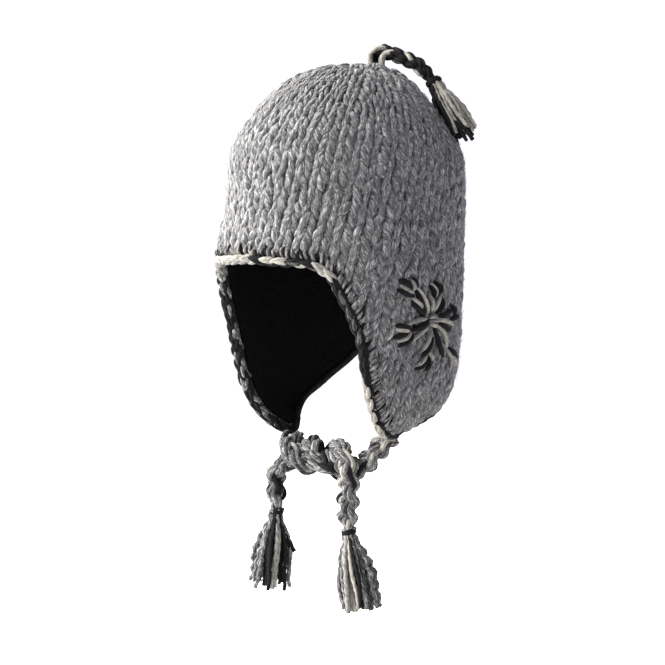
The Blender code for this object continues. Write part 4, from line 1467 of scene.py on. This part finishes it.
@dataclass
class Tassel:
    """A tassel of cut yarns under a wound binding, at the end of a plait; metres."""

    name: str
    node: str
    start: tuple[float, float, float]
    start_way: np.ndarray
    size: TasselSize
    finish: bpy.types.Material

    def build(self) -> bpy.types.Object:
        """Builds and dresses the tassel."""
        size = self.size
        generator = np.random.default_rng(size.seed)
        fall = unit(np.array(size.fall))
        top = np.array(self.start) + self.start_way * 0.0003
        side = unit(np.cross(fall, (0.0, 1.0, 0.0)))
        over = np.cross(fall, side)
        bag = YarnBag()
        way = np.linspace(0.0, 1.0, 30)
        flare = np.interp(way, *np.array(size.flare).T)
        flare = np.maximum(flare, size.neck * smoothstep(way / 0.12))
        for index in range(size.yarns):
            reach = math.sqrt((index + 0.5) / size.yarns)
            angle = index * GOLDEN_ANGLE + generator.normal(0.0, 0.12)
            outward = side * math.cos(angle) + over * math.sin(angle)
            long = size.length * (0.90 + 0.10 * generator.random())
            place = float(np.dot(outward, size.band_way)) * reach
            frayed = size.crimped[0] < place < size.crimped[1]
            wave = np.sin(way * generator.uniform(7.0, 12.0) + generator.uniform(0, 6.28)) * size.wave * way
            crimp = size.crimp[0] if frayed else size.crimp[1]
            wave = wave + crimp * np.sin(way * generator.uniform(38.0, 46.0) + index)
            beside = np.cross(fall, outward)
            spread = (size.width * size.fuller / 2 - size.yarn_radius) * reach
            path = (
                top
                + fall * (way * long)[:, None]
                + outward * (spread * flare + wave)[:, None]
                + beside * (size.drift * np.sin(way * generator.uniform(4.0, 9.0) + index) * way)[:, None]
            )
            share = np.searchsorted([edge for edge, _ in size.bands], place + generator.normal(0.0, 0.05))
            letter = size.bands[min(int(share), len(size.bands) - 1)][1]
            bag.add(
                path, Yarn(size.yarn_radius * generator.uniform(0.85, 1.1), 6, 0.14, 0.008, 0.12),
                tint=LETTERS[letter].value, seed=generator.random(),
            )
        for angle, drop, reach in size.strays:
            outward = side * math.cos(angle) + over * math.sin(angle)
            path = top + fall * (drop * way)[:, None] + outward * (reach * way**1.3)[:, None]
            bag.add(path, Yarn(size.yarn_radius * 1.15, 6, 0.14, 0.008, 0.12), tint=Shade.BLACK.value, seed=0.6)
        turns = np.linspace(0.0, size.binding_turns * 2 * math.pi, 44)
        down = size.binding_drop + size.binding_height * turns / turns[-1]
        ring = side * np.cos(turns)[:, None] + over * np.sin(turns)[:, None]
        wound = top + fall * down[:, None] + ring * size.binding_radius
        bag.add(wound, Yarn(size.binding_yarn, 6, 0.1, 0.006, 0.2), tint=Shade.BLACK.value, seed=0.4)
        return dress(bag.piece(self.name, self.finish), self.node)


@dataclass(frozen=True)
class TiePlan:
    """One free cord with its tassel: its nodes, its route in metres and how both are made."""

    side: str
    node: str
    tassel_node: str
    diameter: float
    stiffness: str
    plait: PlaitSize
    tassel: TasselSize
    route: tuple


TIE_YARN = Yarn(0.0020, 8, 0.08, 0.012, 0.05)
BRAID_YARN = Yarn(0.00165, 8, 0.06, 0.012, 0.05)
RIGHT_TIE = TiePlan(
    "right", "right_tie", "right_tie_tassel", 0.014, "limp",
    PlaitSize(0.0196, 0.0168, 0.043, TIE_YARN, ("GTGGG", "GCGTB", "GGKGC"), sunk=0.004),
    TasselSize(
        (0.195, 0.050, -1.0), 0.066, 0.032, 40,
        ((-0.62, "G"), (-0.40, "T"), (-0.22, "C"), (0.14, "B"), (0.30, "G"),
         (0.40, "K"), (0.54, "B"), (0.80, "G"), (0.90, "K"), (1.0, "G")),
        seed=3, crimped=(0.5, 1.0), fuller=1.16,
    ),
    (
        (-0.0496, -0.0105, -0.2970), (-0.0448, -0.0180, -0.2963), (-0.0378, -0.0270, -0.2982),
        (-0.0300, -0.0313, -0.3040), (-0.0225, -0.0292, -0.3102), (-0.0150, -0.0240, -0.3123),
        (-0.0075, -0.0188, -0.3102), (0.0000, -0.0167, -0.3050), (0.0075, -0.0188, -0.2998),
        (0.0150, -0.0240, -0.2977), (0.0225, -0.0292, -0.2995), (0.0295, -0.0320, -0.3045),
        (0.0330, -0.0320, -0.3130), (0.0325, -0.0305, -0.3235), (0.0300, -0.0290, -0.3380),
        (0.0288, -0.0280, -0.3490), (0.0286, -0.0275, -0.3580),
    ),
)
LEFT_TIE = TiePlan(
    "left", "left_tie", "left_tie_tassel", 0.014, "limp",
    PlaitSize(
        0.0192, 0.0165, 0.043, TIE_YARN, ("BGGGK", "GGBKG", "BGTGB"), root_shade=(0.024, "C"), sunk=0.009
    ),
    TasselSize(
        (-0.115, -0.035, -1.0), 0.066, 0.032, 40,
        ((-0.26, "G"), (0.18, "B"), (0.32, "T"), (0.43, "C"), (0.72, "B"), (1.0, "G")),
        seed=4, crimped=(-1.0, -0.35), fuller=1.26,
        strays=((5.35, 0.033, 0.0165), (5.55, 0.035, 0.0180), (5.75, 0.031, 0.0150), (5.45, 0.028, 0.0120)),
    ),
    (
        (0.0508, -0.0092, -0.2910), (0.0455, -0.0145, -0.2975), (0.0405, -0.0170, -0.3050),
        (0.0340, -0.0170, -0.3105), (0.0260, -0.0185, -0.3125), (0.0180, -0.0225, -0.3132),
        (0.0090, -0.0285, -0.3105), (0.0000, -0.0313, -0.3050), (-0.0075, -0.0292, -0.2998),
        (-0.0150, -0.0240, -0.2977), (-0.0225, -0.0188, -0.2998), (-0.0300, -0.0167, -0.3050),
        (-0.0365, -0.0165, -0.3103), (-0.0445, -0.0195, -0.3130), (-0.0513, -0.0235, -0.3175),
        (-0.0548, -0.0268, -0.3250), (-0.0552, -0.0265, -0.3380), (-0.0550, -0.0263, -0.3520),
    ),
)
CROWN_BRAID = TiePlan(
    "crown", "crown_braid", "crown_tassel", 0.010, "medium",
    PlaitSize(0.0130, 0.0116, 0.032, BRAID_YARN, ("BBBBB", "BBKBB", "BBBBC"), sunk=0.002, root_draw=0.45),
    TasselSize(
        (0.56, 0.18, -1.0), 0.055, 0.020, 34, ((0.22, "B"), (1.0, "C")), seed=6, band_way=(0.54, 0.0, 0.84),
        fuller=1.55, neck=0.42, yarn_radius=0.0015, binding_radius=0.0054, binding_drop=0.0010,
        binding_yarn=0.0016, strays=((0.6, 0.062, 0.0150), (0.3, 0.058, 0.0110), (0.9, 0.060, 0.0125)),
    ),
    (
        (0.0000, 0.0330, 0.0082), (0.0004, 0.0331, 0.0135), (0.0055, 0.0348, 0.0168),
        (0.0117, 0.0369, 0.0157), (0.0238, 0.0409, 0.0112), (0.0341, 0.0444, 0.0060),
        (0.0415, 0.0468, -0.0009), (0.0469, 0.0486, -0.0062),
    ),
)


@dataclass
class Ties:
    """The two knotted ties, the crown's braid and their tassels; metres."""

    finish: bpy.types.Material
    plans: tuple[TiePlan, ...] = (RIGHT_TIE, LEFT_TIE, CROWN_BRAID)
    # The two cream yarns that rise from the gather and go over the braid's root, and their radii.
    crown_yarns: tuple = (
        (((0.0008, 0.0296, 0.001), (0.0001, 0.0275, 0.007), (0.0001, 0.0261, 0.012), (0.0021, 0.0266, 0.017),
          (0.006, 0.0298, 0.0196), (0.0099, 0.0344, 0.0192), (0.012, 0.0408, 0.015)), 0.0021),
        (((0.0083, 0.0329, 0.001), (0.0087, 0.0311, 0.006), (0.0091, 0.0305, 0.0105), (0.0115, 0.0317, 0.0148),
          (0.0148, 0.0351, 0.016), (0.0175, 0.0395, 0.014), (0.0177, 0.045, 0.01)), 0.0026),
    )

    def laid_yarns(self) -> bpy.types.Object:
        """Builds and dresses the cream yarns over the crown braid's root."""
        bag = YarnBag()
        for points, radius in self.crown_yarns:
            yarn = Yarn(radius, 8, 0.08, 0.012, 0.3)
            bag.add(smooth_curve(points, 6), yarn, tint=Shade.CREAM.value, seed=0.8)
        return dress(bag.piece("crown_laid_yarns", self.finish))

    def build(self) -> None:
        """Builds the plaits with their tassels, and the cream yarns over the crown braid's root."""
        for plan in self.plans:
            route = plan.route
            plait = Plait(f"{plan.side}_plait", plan.node, route, plan.plait, self.finish)
            cord = plait.build()
            start_way = unit(np.array(route[-1]) - np.array(route[-2]))
            tassel = Tassel(
                f"{plan.side}_tassel_yarns", plan.tassel_node, route[-1], start_way, plan.tassel, self.finish
            ).build()
            [tassel, self.laid_yarns()] if plan is CROWN_BRAID else [tassel]


@dataclass
class Studio:
    """The pale floor, the soft light and the camera at the photograph's angle; metres."""

    azimuth: float = 45.0
    elevation: float = 4.0
    distance: float = 1.4
    aim: tuple[float, float, float] = (0.0, 0.0, -0.2075)
    lens: float = 94.7
    shift: float = -14.5 / 665.0  # of the picture's width
    floor: float = -0.56
    floor_radius: float = 3.0
    sky: tuple[float, float, float, float] = (0.92, 0.91, 1.0, 1.0)
    sky_strength: float = 1.11
    key: tuple[float, float, float, float, float] = (-40.0, 31.0, 1.8, 2.0, 262.0)  # as light takes them

    def placed(
        self, name: str, data: bpy.types.ID, azimuth: float, elevation: float, away: float
    ) -> bpy.types.Object:
        """Puts a camera or a light at a place round the hat, and turns it to the hat.

        Args:
            name: The object's name.
            data: The camera or the light.
            azimuth: Degrees from the front towards the wearer's left.
            elevation: Degrees over the level.
            away: Metres from the point that is aimed at.

        Returns:
            The object.
        """
        turn, rise = math.radians(azimuth), math.radians(elevation)
        way = Vector((math.sin(turn) * math.cos(rise), -math.cos(turn) * math.cos(rise), math.sin(rise)))
        item = new_object(name, data)
        item.location = Vector(self.aim) + way * away
        item.rotation_euler = way.to_track_quat("Z", "Y").to_euler()
        return item

    def camera(self) -> None:
        """Sets the camera up."""
        data = bpy.data.cameras.new("camera")
        data.lens = self.lens
        data.sensor_width = 36.0
        data.shift_x = self.shift
        data.clip_end = 50.0
        bpy.context.scene.camera = self.placed("camera", data, self.azimuth, self.elevation, self.distance)

    def light(
        self, name: str, azimuth: float, elevation: float, away: float, size: float, watts: float
    ) -> None:
        """Adds a soft square light that faces the hat."""
        data = bpy.data.lights.new(name, "AREA")
        data.shape = "SQUARE"
        data.size = size
        data.energy = watts
        data.color = (1.0, 0.985, 0.94)
        self.placed(name, data, azimuth, elevation, away)

    def build(self) -> None:
        """Sets up the floor, the light and the surroundings."""
        scene = bpy.context.scene
        scene.view_settings.view_transform = "Standard"
        world = bpy.data.worlds.new("studio")
        world.use_nodes = True
        tree = world.node_tree
        fill(tree, tree.nodes["Background"], Color=self.sky, Strength=self.sky_strength)
        scene.world = world
        self.light("key", *self.key)
        bpy.ops.mesh.primitive_circle_add(
            vertices=64, radius=self.floor_radius, fill_type="NGON", location=(0, 0, self.floor)
        )
        floor = bpy.context.object
        floor.name = "floor"
        paper, tree, shader = new_material("white_studio_paper")
        fill(tree, shader, Base_Color=linear_colour("#F8F8F8"), Roughness=0.9, Specular_IOR_Level=0.1)
        floor.data.materials.append(paper)


def main() -> None:
    """Builds the dressed hat, piece by piece."""
    logging.basicConfig(level=logging.INFO, format="%(name)s %(message)s")
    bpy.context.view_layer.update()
    studio = Studio()
    studio.camera()
    black, cream = ("#060607", "#0B0B0C", "#18181A"), ("#56544F", "#716F69", "#87857E")
    tweed, heather_grey = ("#2A2A2B", "#444445", "#828281"), ("#39393A", "#4D4D4E", "#7F7F80")
    trim_wool = WoolFinish("two_colour_twisted_wool", black, tweed, cream).material()
    Ties(trim_wool).build()
    form = HatForm()
    maker = StitchMaker()
    heather = WoolFinish("grey_heather_wool", black, heather_grey, cream, softness=0.45).material()
    KnitFabric(form, maker, heather).build()
    FleeceLining(form, FleeceFinish().material()).build()
    CrochetEdge(form, maker, trim_wool).build()
    for side in (1, -1):
        Snowflake(form, trim_wool).build(side)
    LooseFibres(form, maker, heather).build()
    studio.build()


if __name__ == "__main__":
    main()
